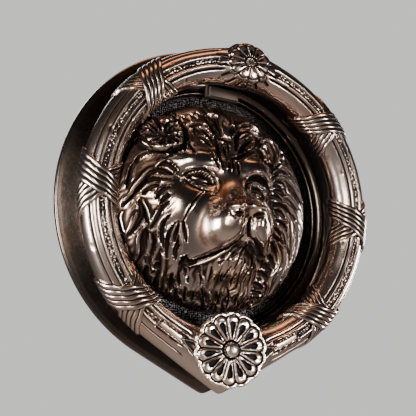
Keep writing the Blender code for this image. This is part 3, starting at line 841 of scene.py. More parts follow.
def carve_mouth(relief):
    """The cheek's crease, the line of the mouth, its corner and the lower lip."""
    relief.slot(1.2, 1.5, (-18, 1.8), (-22, -2), (-24.5, -5.5), (-26.2, -9.5), (-27.6, -14.5))
    relief.slot(1.3, 1.7, (0.6, -17.5), (-2, -21.8), (-5, -25), (-10, -28), (-14.5, -30.2), (-18.5, -31.6),
                (-22, -31.6))
    relief.slot(1.6, 1.3, (-22.8, -31), (-20, -32.7), (-16.5, -32.2))
    relief.slot(1.8, 2.0, (-22.4, -29.6), (-24.5, -32), (-25, -35))
    relief.ridge(2.0, 1.0, (-2.5, -24.6), (-5.8, -27), (-10, -30), (-15, -32.8), (-20, -34.4))


def carve_chin(relief):
    """The tuft under the lip, and the short beard."""
    fineness, depth = 0.8, 1.0
    relief.ridge(2.6, 1.6, (2, -19.5), (5, -23), (10, -25.8), (14.5, -28.6), (16.5, -32.4))
    relief.ridge(2.2, 1.5, (2.4, -21), (1.8, -24), (0.4, -27.4), (-2.4, -30.4))
    relief.ridge(2.0, 1.3, (-3, -27), (-4.2, -29.6), (-7.4, -31.2))
    for width, line in (
        (2.4, ((2, -23.4), (0.5, -26), (-1.6, -28.2))),
        (2.0, ((4, -22.8), (3.6, -26.5), (3, -29.5), (1.5, -34.5))),
        (3.0, ((-4.8, -28.8), (-6, -31), (-7, -33.2))),
        (2.2, ((-21.5, -35.3), (-20.6, -37), (-20.4, -39.3))),
        (1.7, ((-18.6, -39), (-18.6, -42.6))),
        (2.0, ((9, -26.2), (12, -28.7), (13, -31.5), (11, -35), (10, -38.5))),
        (1.6, ((14.5, -27.4), (16.2, -30), (17.5, -33.4))),
        (1.5, ((6.5, -28), (7, -31), (6, -35))),
        (1.4, ((-0.5, -33), (-1.6, -37), (-2, -40.6))),
        (1.3, ((-9.6, -34), (-8.6, -38), (-8.4, -42))),
        (1.2, ((4, -36), (3.4, -39), (4, -41.6))),
        (1.3, ((-14.2, -36), (-12.4, -40), (-12, -43.6))),
        (1.6, ((-0.6, -45.6), (0, -49), (0, -52.4))),
        (1.5, ((2, -42.5), (4.5, -46), (7, -52.5))),
        (1.8, ((10.4, -44.6), (10, -47), (10.6, -50.6))),
        (1.5, ((16, -44.5), (14.5, -48), (13.5, -52))),
        (1.5, ((-15, -45.6), (-13.8, -48), (-13, -50.6))),
        (1.8, ((-9, -48), (-7.4, -51), (-5.5, -54.6))),
        (1.6, ((-4.8, -48.8), (-3.6, -51.4), (-2.4, -54.4))),
        (1.4, ((-19, -44), (-18, -48), (-16.4, -51))),
        (1.3, ((-11, -44.6), (-9.6, -47), (-8.8, -49))),
    ):
        relief.slot(fineness * width, depth, *line)
    relief.ridge(1.1, 0.7, (-14.5, -33), (-13, -37.5), (-10.5, -41), (-9, -46))
    relief.ridge(1.1, 0.7, (-7, -45.5), (-4.5, -48.5), (-2.5, -54))


def carve_crown(relief):
    """The boss over the brow with its drop-shaped hollow, and the curls on either side."""
    relief.slot(2.6, 2.6, (-14.5, 46), (-12.4, 40), (-10.7, 36), (-8.8, 32.4), (-4.5, 30.6))
    relief.slot(1.8, 2.2, (4.5, 47), (3.2, 41), (2, 35), (0.4, 30.6))
    relief.ridge(10.5, 3.8, (-5.5, 48.5), (-3.8, 43), (-3, 37.5), (-3.2, 30.8))
    relief.slot(3.0, 2.6, (0.6, 39.8), (-1.2, 36.6), (-3.4, 33.4))
    relief.ridge(2.8, 3.0, (-11.6, 51), (-10, 46.4), (-7.3, 43.2))
    relief.slot(1.6, 2.0, (-13.6, 46.2), (-10.8, 43.4), (-8.8, 41.3))
    relief.ridge(1.8, 1.8, (-20.6, 32.5), (-19, 36), (-16, 36.8), (-13.4, 34.6), (-11.6, 31))
    relief.slot(1.9, 2.2, (-19.2, 33.2), (-16.6, 34.9), (-14.5, 33), (-11.8, 29.4))
    relief.slot(1.9, 2.2, (-19, 32), (-16, 29.4), (-13, 27))
    relief.ridge(1.5, 1.6, (-24, 38), (-20.4, 39.5), (-16.5, 39.5), (-13, 37.3))
    relief.slot(1.4, 1.9, (-23.6, 37), (-19, 38.1), (-14.4, 36.8))
    relief.slot(1.5, 1.9, (-25.6, 44), (-24, 42.4), (-22.4, 40.4))
    relief.slot(1.5, 1.9, (-21, 46), (-19.4, 43.8), (-17, 41.6))
    relief.slot(1.5, 1.9, (-17.6, 48), (-16, 45.6), (-14, 42.6))
    relief.slot(1.8, 2.0, (-24.5, 28.4), (-24.5, 24.5), (-23, 20.6))
    relief.slot(2.6, 2.4, (1, 26.6), (1.8, 32.5), (4, 37.2), (8, 39.8), (12.5, 40.2), (16, 38.3))
    relief.slot(3.2, 2.8, (13, 36.6), (7.5, 32.5), (4.5, 29), (2.2, 25))
    relief.ridge(1.7, 1.7, (1, 25.5), (3.8, 30.6), (8.2, 35.2), (13, 38))
    relief.ridge(1.7, 1.7, (3, 25), (6.4, 27.4), (10.4, 30.4), (14.4, 35.4))
    relief.ridge(1.9, 1.9, (5.5, 42.4), (11, 45), (14.4, 44), (17.6, 40.2))
    relief.slot(1.7, 2.0, (6.2, 41.3), (11.5, 43.2), (14.2, 42.2), (16.8, 39.2))
    relief.ridge(1.7, 1.7, (5.2, 39.4), (11, 41.4), (14.2, 40.6), (16.6, 37.2))


def carve_left_ear(relief):
    """A round ear like a flower: a raised disc cut by strokes that run to its middle."""
    center = (-36.0, 30.0)
    across, height = relief.across - center[0], relief.height - center[1]
    away = np.sqrt(across**2 + height**2)
    bearing = np.arctan2(height, across)
    edge = 9.4 + 2.0 * np.cos(bearing - radians(80.0))
    inside = 1.0 - step_up(away - edge, -0.8, 0.6)
    disc = 1.6 + 1.3 * step_up(away, 2.0, 8.0)
    relief.rise = relief.rise * (1.0 - inside) + disc * inside
    relief.rise -= 2.4 * np.exp(-(((away - edge - 1.2) / 0.9) ** 2))
    relief.grime = relief.grime * (1.0 - inside)
    for bearing, reach in (
        (155, 7.4), (190, 7.8), (128, 8.0), (98, 11.0), (66, 9.6), (44, 9.6), (22, 9.6), (352, 8.6),
        (326, 9.0), (298, 8.8), (262, 7.0), (224, 7.6),
    ):
        turn, bend = radians(bearing), radians(bearing - 8)
        start = (center[0] + 1.4 * cos(turn), center[1] + 1.4 * sin(turn))
        middle = (center[0] + 0.55 * reach * cos(turn), center[1] + 0.55 * reach * sin(turn))
        end = (center[0] + reach * cos(bend), center[1] + reach * sin(bend))
        relief.slot(1.9, 1.9, start, middle, end)
    relief.slot(3.4, 1.6, (-37.6, 30), (-34.4, 30))
    relief.ridge(3.2, 2.6, (-46, 26.6), (-42, 23.4), (-37, 23), (-32.6, 24.6))
    relief.slot(2.6, 2.6, (-29, 45.6), (-27.6, 38.5), (-26.4, 33.5), (-26.4, 28.5), (-27.6, 21.6))


def carve_right_ear(relief):
    """The right ear, a hooked rim round a hollow, with a dark cut behind it."""
    relief.ridge(11.0, 2.6, (19, 34), (21, 29), (20, 22.5))
    relief.ridge(4.4, 4.0, (16.5, 34), (20, 36), (24.4, 34.8), (26.4, 31), (26, 26.5), (22.6, 21.6))
    relief.ridge(2.6, 3.4, (17.4, 32.4), (19.6, 29.5), (19.4, 25), (17.6, 22))
    relief.slot(2.6, 2.6, (15.2, 31.2), (16.2, 27), (15.4, 22.4))
    relief.slot(2.0, 2.2, (14.6, 36.4), (20, 38), (26.4, 36.6), (28.8, 31), (28, 25.4), (24, 20),
                (18.4, 17.8))


# The mane's locks. A cut is (width, points along it) and a strand is (width, lift, points along
# it), each point an (across, height) from the mask's middle.
LEFT_MANE_CUTS = (
    (1.9, (-49, 15.5), (-47, 18.3), (-44, 20.2), (-40, 20.8)),
    (1.9, (-48.5, 16), (-50, 13), (-51, 8), (-52, 2)),
    (3.2, (-41, 11), (-44.5, 8.6), (-46.5, 4.6), (-49, 0.6), (-51, -3), (-53, -7.5)),
    (2.8, (-40.5, 12), (-39, 14.4), (-36.5, 14.9), (-33.5, 13), (-30.6, 11.4)),
    (2.6, (-43, 9), (-40.5, 10.8), (-38, 10.8), (-35.5, 9.5), (-32.4, 9.5)),
    (2.1, (-47.4, 1.6), (-44.5, 5.2), (-41.5, 6.5), (-38.5, 6.3), (-33.5, 6.8)),
    (2.6, (-46, -1.4), (-44, 0.8), (-42, 2.6), (-39.2, 3.2)),
    (2.1, (-40.2, -4), (-39, -1), (-37, 1.3), (-34, 2.6)),
    (2.1, (-38.2, -6), (-37, -3.6), (-34.6, -0.8)),
    (1.9, (-41, -18.5), (-39.5, -14), (-38.5, -11), (-37.8, -8.5), (-36.3, -6.5), (-34.4, -4.6)),
    (1.9, (-44.6, -7.6), (-43.2, -12.5), (-42, -16)),
    (2.8, (-47, -4), (-46, -8), (-45.5, -11.5), (-46.5, -14.5), (-47.5, -18), (-48.8, -22)),
    (1.8, (-33.6, -11), (-35.5, -14.5), (-36, -19), (-35.4, -22.5), (-33.8, -27)),
    (3.4, (-42.4, -17.6), (-43, -21.5), (-43, -25), (-41.7, -28.5), (-42.1, -32), (-42.6, -35)),
    (2.0, (-39.6, -20.6), (-38, -25), (-38, -27.5), (-38.6, -31)),
    (1.8, (-30.6, -15), (-32.8, -20), (-32.6, -27), (-31.4, -32)),
    (1.8, (-29.2, -15.5), (-29.8, -19), (-29.6, -24)),
    (2.1, (-28, -19.4), (-28, -25), (-28.5, -28), (-27.4, -32.6)),
    (1.6, (-27.6, -13.8), (-26, -18.5), (-24, -24)),
    (2.6, (-34.5, -33.6), (-35, -37)),
    (2.1, (-38.6, -35.2), (-38, -38), (-37.4, -40.6)),
    (1.6, (-31, -38.6), (-30.5, -42), (-29.3, -44.6)),
    (1.9, (-27.6, -38), (-26.5, -42.5), (-24.8, -46.6)),
    (1.6, (-24, -36.6), (-23.2, -40), (-21.6, -44.6)),
    (1.5, (-33.4, -40), (-32.6, -43), (-31, -45.6)),
    (1.6, (-23, -45), (-22, -48), (-20.4, -50.6)),
)
LEFT_MANE_STRANDS = (
    (1.8, 1.5, (-40.6, 12.2), (-43.5, 11.2), (-45.6, 8.5), (-47.3, 5.5), (-49.5, 2.2), (-51, -1.6),
     (-53, -6)),
    (1.5, 1.3, (-41, 12), (-39, 15.4), (-37, 16.6), (-33.6, 15.4)),
    (1.6, 1.3, (-40, 12.2), (-36.5, 12.6), (-33.5, 10.7), (-30.6, 8.2)),
    (1.3, 1.1, (-41, 8.3), (-38.5, 8.2), (-33.6, 8.3)),
    (1.4, 1.2, (-47.2, -1), (-45, 1.9), (-42.5, 4), (-40.5, 4.7), (-38, 4)),
    (1.4, 1.2, (-42, -19), (-40.7, -14), (-39.3, -9.5), (-38, -6.6)),
    (2.0, 1.8, (-46.6, -3.4), (-44.6, -6.2), (-42.6, -10.5), (-41.3, -15.6)),
    (2.0, 1.5, (-47, -9.6), (-48, -13), (-48.7, -16.5), (-49.6, -21.6)),
    (1.4, 1.1, (-52, -9), (-52.6, -12), (-51.6, -16), (-50, -20)),
    (1.4, 1.2, (-48.6, -25), (-46.6, -29.5), (-44.6, -32.5), (-43, -35)),
    (1.5, 1.3, (-43.8, -17), (-45, -21), (-44.8, -25), (-43.6, -30), (-43.4, -34.5)),
    (1.5, 1.3, (-40.7, -19.5), (-40.6, -23.5), (-40.4, -27.5), (-40.6, -31)),
    (1.6, 1.4, (-39.4, -19.6), (-37, -23), (-36.4, -27.5), (-37, -31), (-37, -35.4)),
    (2.0, 1.6, (-34.6, -28), (-33, -32), (-32, -36.5), (-31, -41.6), (-29.4, -46)),
    (1.6, 1.2, (-29.8, -14), (-31.2, -19), (-31.2, -25.6)),
    (1.6, 1.2, (-28.4, -14), (-28, -19), (-26.6, -26)),
)
RIGHT_MANE_CUTS = (
    (2.5, (22.4, 17.6), (28, 20.8), (33, 21.6), (38, 20.4)),
    (1.7, (22.5, 16), (27.4, 18.4)),
    (2.3, (24.3, 14), (29, 14.8), (32, 14), (34.6, 10)),
    (2.5, (23.7, 11.7), (27.5, 12.7), (30.6, 11.9)),
    (3.2, (23.5, 8.9), (28, 9.6), (32.4, 8.9)),
    (3.2, (20.3, 5.2), (24, 6.1), (27.5, 5.5), (30.6, 5)),
    (2.7, (22.3, 0.8), (27.5, 2.2), (31.6, 1.6), (38.5, -1.8)),
    (4.0, (23.6, -1.9), (28, -2), (32.6, -3.6)),
    (2.7, (24.4, -6.2), (29.5, -7), (33.6, -8.8), (36, -13.5)),
    (2.7, (23.3, -10.6), (28, -12), (31.4, -15.6)),
    (2.6, (23, -14.6), (28, -16.1), (32.4, -18.2)),
    (1.9, (35, -2.9), (39, -7.5), (41, -14)),
    (1.9, (40, -4.6), (42, -9), (43, -15), (43, -21)),
    (1.8, (44, -5), (46, -11), (46.6, -18), (45.6, -24)),
    (3.8, (22.2, -18), (25, -20.8), (29, -24), (29.8, -26)),
    (4.4, (21.8, -24.6), (25, -26.4), (29.2, -29.8)),
    (4.0, (20.4, -29.6), (24, -30.4), (28.3, -32.4)),
    (3.0, (18.8, -32.6), (23, -34.4), (27.6, -36.2)),
    (2.3, (20, -36), (23, -37)),
    (2.0, (23.6, -37.3), (27.6, -39)),
    (3.7, (18.2, -38.5), (22, -40), (25.8, -40.6)),
    (2.8, (18.2, -42.3), (22, -43.4), (26, -43)),
    (2.4, (18.2, -45.3), (22.5, -46), (26.4, -45.4)),
    (2.1, (19.6, -48), (23.4, -47.4)),
    (2.3, (27.4, -41.6), (30, -44), (30.4, -47)),
    (2.8, (28, -18.4), (31.6, -21.5), (33.2, -25.5), (32.2, -30), (30.7, -34), (31, -37)),
    (1.8, (38, -22), (38.8, -28), (37.6, -34.6)),
    (1.8, (41.6, -26), (41, -32), (38.6, -38)),
    (2.3, (26.8, 35.6), (29.6, 37.8), (32.6, 40)),
    (2.7, (27.4, 33), (32, 36), (38, 39.2)),
    (2.9, (28, 30.4), (32, 32), (37, 34)),
    (2.5, (28.2, 27.8), (32, 28.6), (36.6, 29.4)),
    (1.6, (22.6, 38.4), (25.4, 40.6), (27.6, 43)),
)
RIGHT_MANE_STRANDS = (
    (2.8, 2.0, (24.3, 16), (30, 17.6), (34.4, 17.3), (39, 15.6), (43, 12), (47.6, 7.4)),
    (2.0, 1.6, (25, 22.6), (31, 24.4), (36.5, 23.8), (42, 20.8)),
    (2.0, 1.6, (30.6, 4), (35.5, 2.4), (40, -0.4), (44.6, -4.6)),
    (1.8, 1.5, (33, 8.4), (38, 6.6), (43.6, 2.6)),
    (1.6, 1.3, (24.2, -8.5), (29, -9.6), (33, -12), (35.4, -17)),
    (3.6, 2.2, (26.6, -16.8), (32.4, -19), (35.4, -23), (35.9, -28), (34.6, -34), (32.6, -39), (30.6, -43)),
    (2.2, 1.8, (22.4, -16.6), (27, -19.3), (30.4, -22.8), (31.4, -26), (30.4, -30), (28.6, -33.6),
     (28.2, -37), (29.2, -40.4), (29, -44), (26.6, -47.6), (22.6, -49.6)),
    (1.7, 1.4, (33.4, -0.8), (37, -5), (38.6, -11.5), (39.8, -17), (40.4, -23)),
    (1.7, 1.4, (41, -3), (44, -9.6), (45, -16), (44.6, -23)),
    (1.5, 1.2, (38, -5), (40.6, -10), (41.6, -17), (41.6, -24)),
    (1.5, 1.2, (36.6, -20), (37.4, -27), (36, -35)),
)


def mask_relief(across, height):
    """The mask's fine relief, laid down from the mane to the features that lie over it."""
    relief = Relief(across, height)
    relief.rise = mane_ripple(across, height) * (1.0 - face_share(across, height))
    relief.grime = np.clip(-0.5 * relief.rise, 0.0, 0.4)
    for cuts, depth in ((LEFT_MANE_CUTS, 1.5), (RIGHT_MANE_CUTS, 1.9)):
        for width, *line in cuts:
            relief.slot(width, depth, *line)
    settled = 0.85
    for width, lift, *line in LEFT_MANE_STRANDS + RIGHT_MANE_STRANDS:
        relief.ridge(width, settled * lift, *line)
    for carve in (
        carve_crown, carve_left_ear, carve_right_ear, carve_chin, carve_mouth, carve_brows,
        carve_nose, carve_left_eye, carve_right_eye,
    ):
        carve(relief)
    for place in mask_screw_places():
        cover = bump(across, height, place, 5.0, 1.0, power=2.0)
        relief.rise = np.maximum(relief.rise, -0.5 * cover - 8.0 * (1.0 - cover))
    return relief


def mask_loops(rows):
    """Radii of the mask's loops, spread evenly along its dome, and the dome's slope at each."""
    fine = np.linspace(0.004, 1.0, 4000) * HEAD_RADIUS
    fine_depth = dome_depth(fine)
    arc = np.concatenate([[0.0], np.cumsum(np.hypot(np.diff(fine), np.diff(fine_depth)))])
    radii = np.interp(np.linspace(0.0, arc[-1], rows), arc, fine)[:, None]
    return radii, np.interp(radii, fine, np.gradient(fine_depth, fine))


def mask_tone(relief, radii):
    """Brighter on the polished face and darker in the mane's cuts; darker towards the mask's edge as painted
    shade where it meets the dish.
    """
    shine = 0.14 * face_share(relief.across, relief.height) - 0.04 - 0.42 * relief.grime
    # Painted shade: the mask is darkened over its last few millimetres before the dish.
    return shine - 0.16 * step_up(radii, HEAD_RADIUS - 8.0, HEAD_RADIUS - 1.0)


def make_mask():
    """The lion mask: a hollow casting with its mane, ears and face in high relief."""
    rows, columns, inner_rows = 160, 530, 14
    radii, slope = mask_loops(rows)
    angles = (tau * np.arange(columns) / columns)[None, :]
    across, height = radii * np.sin(angles), radii * np.cos(angles)
    depth = dome_depth(radii) * np.ones_like(angles)
    outward = -slope / np.sqrt(1.0 + slope**2)
    forward = 1.0 / np.sqrt(1.0 + slope**2)
    relief = mask_relief(across, height)
    rise = relief.rise * step_up(depth, FOOT_DEPTH, FOOT_DEPTH + 1.2)
    broad = broad_form(across, height) * step_up(HEAD_RADIUS - radii, 0.0, 6.0)
    reach = radii + outward * rise
    outer = spots(reach * np.sin(angles), depth + broad + forward * rise, reach * np.cos(angles))
    inner_radii = np.linspace(HEAD_RADIUS - HEAD_WALL - 1.0, 1.0, inner_rows)[:, None]
    hollow = np.maximum(FOOT_DEPTH, dome_depth(inner_radii * 1.07) - HEAD_WALL) * np.ones_like(angles)
    hollow[0] = FOOT_DEPTH
    inner = spots(inner_radii * np.sin(angles), hollow, inner_radii * np.cos(angles))
    mask = shape("lion_mask", np.concatenate([outer, inner]), grid_faces(rows + inner_rows, columns))
    tone = np.concatenate([mask_tone(relief, radii).ravel(), np.full(inner.size // 3, -0.1)])
    dress(mask, "plate", "mask", ("lion_head",), tone)


def make_mask_boss(number, center):
    """A boss inside the mask for one of its screws, coned at its top so that it stays inside."""
    bore, top = SCREW_RADIUS + GAP, MASK_SCREW_TOP + 0.4
    profile = (
        (bore, FOOT_DEPTH), (MASK_BOSS_RADIUS, FOOT_DEPTH), (MASK_BOSS_RADIUS, top - 5.0),
        (bore + 0.5, top), (bore, top),
    )
    boss = turned(f"mask_boss_{number}", profile, center, steps=48, closed=True)
    dress(boss, "plate", "mask")


# --------------------------------------------------------------------- the ring

def ring_swell(angle, side):
    """The extra thickness where the ring carries its top flower."""
    top = (pi - np.abs(angle)) * RING_RADIUS
    return SWELLING * np.exp(-((top / SWELLING_LENGTH) ** 2)) * (1.0 + np.sin(side)) / 2


def ring_frame(angle, side, lift):
    """Points on the ring's rod in the ring's own frame. The angle runs round the ring from
    straight down; side runs round the section, 0 outward and a quarter turn to the front."""
    outer = teardrop(angle, RING_RADIUS + ROD_RADIUS, RING_TIP)
    inner = RING_RADIUS - ROD_RADIUS
    middle, half = (outer + inner) / 2, (outer - inner) / 2
    spread = ring_swell(angle, side) + lift
    flat = np.clip((outer - RING_RADIUS - ROD_RADIUS) / 8.0, 0.0, 1.0)
    reach = middle + (half + spread) * np.cos(side)
    forward = RING_FORWARD + (ROD_RADIUS - 1.4 * flat + spread) * np.sin(side)
    return spots(reach * np.sin(angle), forward, -RING_BELOW - reach * np.cos(angle))


def valley(value, center, width):
    """1 at the center, falling smoothly away within about the width."""
    return np.exp(-(((value - center) / (width / 2.0)) ** 2))


def rod_relief(angle, face):
    """The ring's mouldings and the grime in them. Face is the angle round the rod from its
    front, in degrees, positive outward. Between the bindings runs a sunk stippled band with fine
    beads beside it; near the foot it narrows to two slots."""
    from_foot = np.degrees(np.abs(angle))
    from_top = 180.0 - from_foot
    along = RING_RADIUS * radians(1.0)
    to_binding = np.full(np.broadcast(angle, face).shape, 99.0)
    for ribbon in RIBBON_ANGLES:
        to_binding = np.minimum(to_binding, np.abs(from_top - ribbon) * along)
    clear = step_up(to_binding, 2.0, 3.0) * step_up(from_top, 12.5, 14.5)
    foot_part = 1.0 - step_up(from_foot, 31.0, 33.0)
    upper_part = clear * (1.0 - foot_part)
    low_edge, high_edge = -6.0, 14.0
    above_low = step_up(face, low_edge - 1.4, low_edge + 1.0)
    band = above_low * (1.0 - step_up(face, high_edge - 1.0, high_edge + 1.4))
    slots = np.zeros_like(band)
    for center in (-6.0, 20.0):
        half = 5.0 * np.clip((from_foot - 17.5) / 5.0, 0.0, 1.0) ** 0.5
        slots = np.maximum(slots, 1.0 - step_up(np.abs(face - center), half - 1.0, half + 1.6))
    slots = slots * step_up(from_foot, 17.5, 19.5) * clear * foot_part
    sunk = np.maximum(band * upper_part, slots)
    arc_x, arc_y = angle * RING_RADIUS, np.radians(face) * ROD_RADIUS
    specks = dots(arc_x, arc_y, 1.3, 21)
    caked = step_up(mottle(arc_x, arc_y, 11.0, 22), 0.0, 0.5)
    lines = step_up(from_top, 10.0, 13.0) * step_up(from_foot, 16.0, 20.0)
    cuts = 0.55 * valley(face, -21.0, 5.0) + 0.30 * valley(face, 23.0, 3.6) + 0.85 * valley(face, 46.0, 5.0)
    beads = 0.38 * valley(face, -11.0, 8.0) + 0.38 * valley(face, 18.4, 6.0) + 0.22 * valley(face, -29.0, 7.0)
    lift = (0.35 * specks - 0.9) * sunk + lines * (beads - cuts - 0.20 * window(face, 25.0, 43.0, 2.0))
    dents = np.clip(mottle(arc_x, arc_y * 1.3, 9.0, 23) - 0.95, 0.0, 1.0)
    grime = (0.10 + 0.30 * caked - 0.30 * specks) * sunk + lines * np.clip(cuts * 0.9, 0.0, 0.6) + 0.4 * dents
    return lift - 0.35 * dents + 0.05 * mottle(arc_x, arc_y, 14.0, 24), grime


def leaf_relief(angle, face):
    """A small framed three-cornered leaf on each side of the rosette."""
    from_foot = np.degrees(np.abs(angle))
    half = 21.0 * np.clip((21.5 - from_foot) / 9.0, 0.0, 1.0)
    inside = half - np.abs(face - 6.0)
    shown = step_up(from_foot, 8.0, 9.0) * (1.0 - step_up(from_foot, 20.6, 21.2))
    sunk = step_up(inside, 3.6, 5.2) * shown
    groove = valley(inside, -2.0, 3.0) * shown
    rim = valley(inside, 1.6, 4.0) * shown
    return 0.6 * rim - 0.8 * sunk - 0.4 * groove, 0.25 * sunk + 0.5 * groove - 0.2 * rim


def petal_rays(angle, face):
    """Engraved lines that run out over the ring from below the top flower."""
    across = np.sin(angle) * RING_RADIUS
    below = -np.radians(face) * (ROD_RADIUS + SWELLING)
    away = np.hypot(across, below)
    turn = np.arctan2(across, below)
    lines = np.zeros(away.shape)
    for number in range(-5, 5):
        bearing = (number + 0.5) * tau / 15.0
        line = valley((turn - bearing) * away, 0.0, 1.5) * window(away, 9.5, 17.0, 0.8)
        lines = np.maximum(lines, line)
    return lines


def ring_sides(count):
    """Angles round the rod's section, closer together on the front."""
    even = np.linspace(0.0, tau, count, endpoint=False)
    return pi / 2 + even - 0.6 * np.sin(even)


def face_angle(side):
    """The angle from the rod's front, in degrees, between -180 and 180, positive outward."""
    return (90.0 - np.degrees(side) + 180.0) % 360.0 - 180.0


def make_ring():
    """The swinging ring's rod, with its mouldings, pointed foot and leaves."""
    sections, sides = 900, 104
    angle = (tau * np.arange(sections) / sections - pi)[:, None]
    side = ring_sides(sides)[None, :]
    face = face_angle(side)
    near_top = step_up(np.degrees(np.abs(angle)), 160.0, 166.0) * step_up(np.sin(side), 0.0, 0.2)
    lift, grime = rod_relief(angle, face)
    leaf, leaf_grime = leaf_relief(angle, face)
    rays = petal_rays(angle, face) * near_top
    below = -ring_frame(angle, side, 0.0)[..., 2] / MM
    rubbed = step_up(below, ROSE_BELOW - 22.0, ROSE_BELOW - 14.0)
    points = hung(ring_frame(angle, side, lift + leaf - 0.6 * rays))
    faces = grid_faces(sections, sides, close_rows=True)
    tone = 0.04 - 0.85 * grime - 0.8 * leaf_grime - 0.9 * rays + 0.08 * rubbed
    dress(shape("ring_rod", points, faces), "ring", "ring", ("knocker_ring",), tone)


def make_knuckle():
    """The barrel that turns on the hinge pin, and the web that joins it to the rod."""
    bore, rim, half, edge = PIN_RADIUS + GAP, EAR_RADIUS, EAR_INNER - 0.4, 0.3
    barrel = (
        (bore, -half), (rim - edge, -half), (rim, edge - half), (rim, half - edge), (rim - edge, half),
        (bore, half),
    )
    knuckle = turned("hinge_knuckle", barrel, (0.0, 0.0), axis="X", closed=True, place=hung)
    dress(knuckle, "ring", "ring")
    web = block("knuckle_web", (-half, 2.5, -3.4), (half, 8.0, 3.4))
    web.data.vertices.foreach_set("co", hung(vertex_array(web.data)).ravel())
    dress(soften(web, 0.5), "ring", "ring")


def binding_lift(run, turn, hand):
    """Height over the rod of two crossed bands of five strands. Run goes along the ring from the
    crossing and turn goes round the rod from its front, both in millimetres."""
    strand, count, slant = 2.25, 5, radians(31.0)
    height = np.full(run.shape, -1.9)
    grime = np.zeros(run.shape)
    for order, lean in ((0.0, hand), (0.5, -hand)):
        wander = 0.16 * np.sin(turn * 0.9 + order * 4.0)
        offset = (run - lean * np.tan(slant) * turn) * cos(slant) + wander
        number = offset / strand + (count - 1) / 2.0
        nearest = np.clip(np.round(number), 0, count - 1)
        gap = (number - nearest) * 2.0
        share = np.clip(1.0 - gap**2, 0.0, 1.0)
        covers = np.abs(gap) <= 1.02
        height = np.where(covers, 0.25 + order + 0.75 * np.sqrt(share), height)
        grime = np.where(covers, np.clip((np.abs(gap) - 0.62) * 2.4, 0.0, 0.8), grime)
    return height, grime


def make_bindings():
    """Six crossed bindings, each a sleeve round the rod."""
    rows, columns, half_run = 110, 150, 15.5
    runs = np.linspace(-half_run, half_run, rows)[:, None]
    sides = ring_sides(columns)[None, :]
    turn = np.radians(face_angle(sides)) * ROD_RADIUS
    for hand in (-1, 1):
        for number, ribbon in enumerate(RIBBON_ANGLES, start=1):
            angle = hand * (pi - radians(ribbon)) + runs / RING_RADIUS
            lean = -1.0 if hand > 0 and number == 3 else 1.0
            lift, grime = binding_lift(runs + 0.0 * turn, turn - 0.6 + 0.0 * runs, lean)
            lift = lift + 0.05 * mottle(runs, turn, 5.0, 40 + number)
            end = step_up(half_run - np.abs(runs), 0.0, 0.6)
            lift = lift * end - 1.9 * (1.0 - end)
            outer = ring_frame(angle, sides, lift)
            inner = ring_frame(angle[[-1, 0]], sides, np.full((2, columns), -2.8))
            tone = np.concatenate([0.04 - 0.8 * grime, np.zeros((2, columns))])
            name = f"binding_{'left' if hand < 0 else 'right'}_{number}"
            faces = grid_faces(rows + 2, columns, close_rows=True)
            dress(shape(name, hung(np.concatenate([outer, inner])), faces), "ring", "ring", tone=tone)


def flower_relief(away, angle, petals, radius, button, slim=0.56, short=1.25):
    """Petals with raised rims, each round a drop-shaped hollow, whose width and length are set by
    slim and short. Away is the distance from the flower's middle. Gives the petals' share, the
    hollows' and that of the border outside them."""
    petal = (angle * petals / tau + 0.5) % 1.0 - 0.5
    across = petal * tau / petals * away
    widest = pi * radius / petals - 0.12
    half = np.maximum(np.minimum(pi * away / petals - 0.12, widest), 0.05)
    tip = np.maximum(0.0, away - (radius - 0.7 * widest)) / 0.7
    edge = np.sqrt(across**2 + tip**2) / half
    body = np.clip(1.0 - np.clip(edge, 0.0, 1.0) ** 5, 0.0, 1.0) ** 0.55
    grown = np.clip((away - button * 1.15) / (radius * 0.4), 0.0, 1.0) ** 0.55
    drop_tip = np.maximum(0.0, away - (radius - short * widest))
    drop_edge = np.sqrt(across**2 + drop_tip**2) / np.maximum(slim * half * grown, 0.05)
    drop = np.clip(1.0 - drop_edge**4, 0.0, 1.0) ** 0.5 * step_up(away, button * 1.3, button * 1.6)
    border = step_up((edge - 1.0) * half, 0.35, 0.75) * step_up(away, radius * 0.9, radius * 0.94)
    return body, drop, border


def scalloped_rim(angles, petals, radius):
    """The outline of a flower's border, bulging outside each petal."""
    depth = 1.2
    return radius - depth * (1.0 - np.abs(np.cos(angles * petals / 2)) ** 0.55)


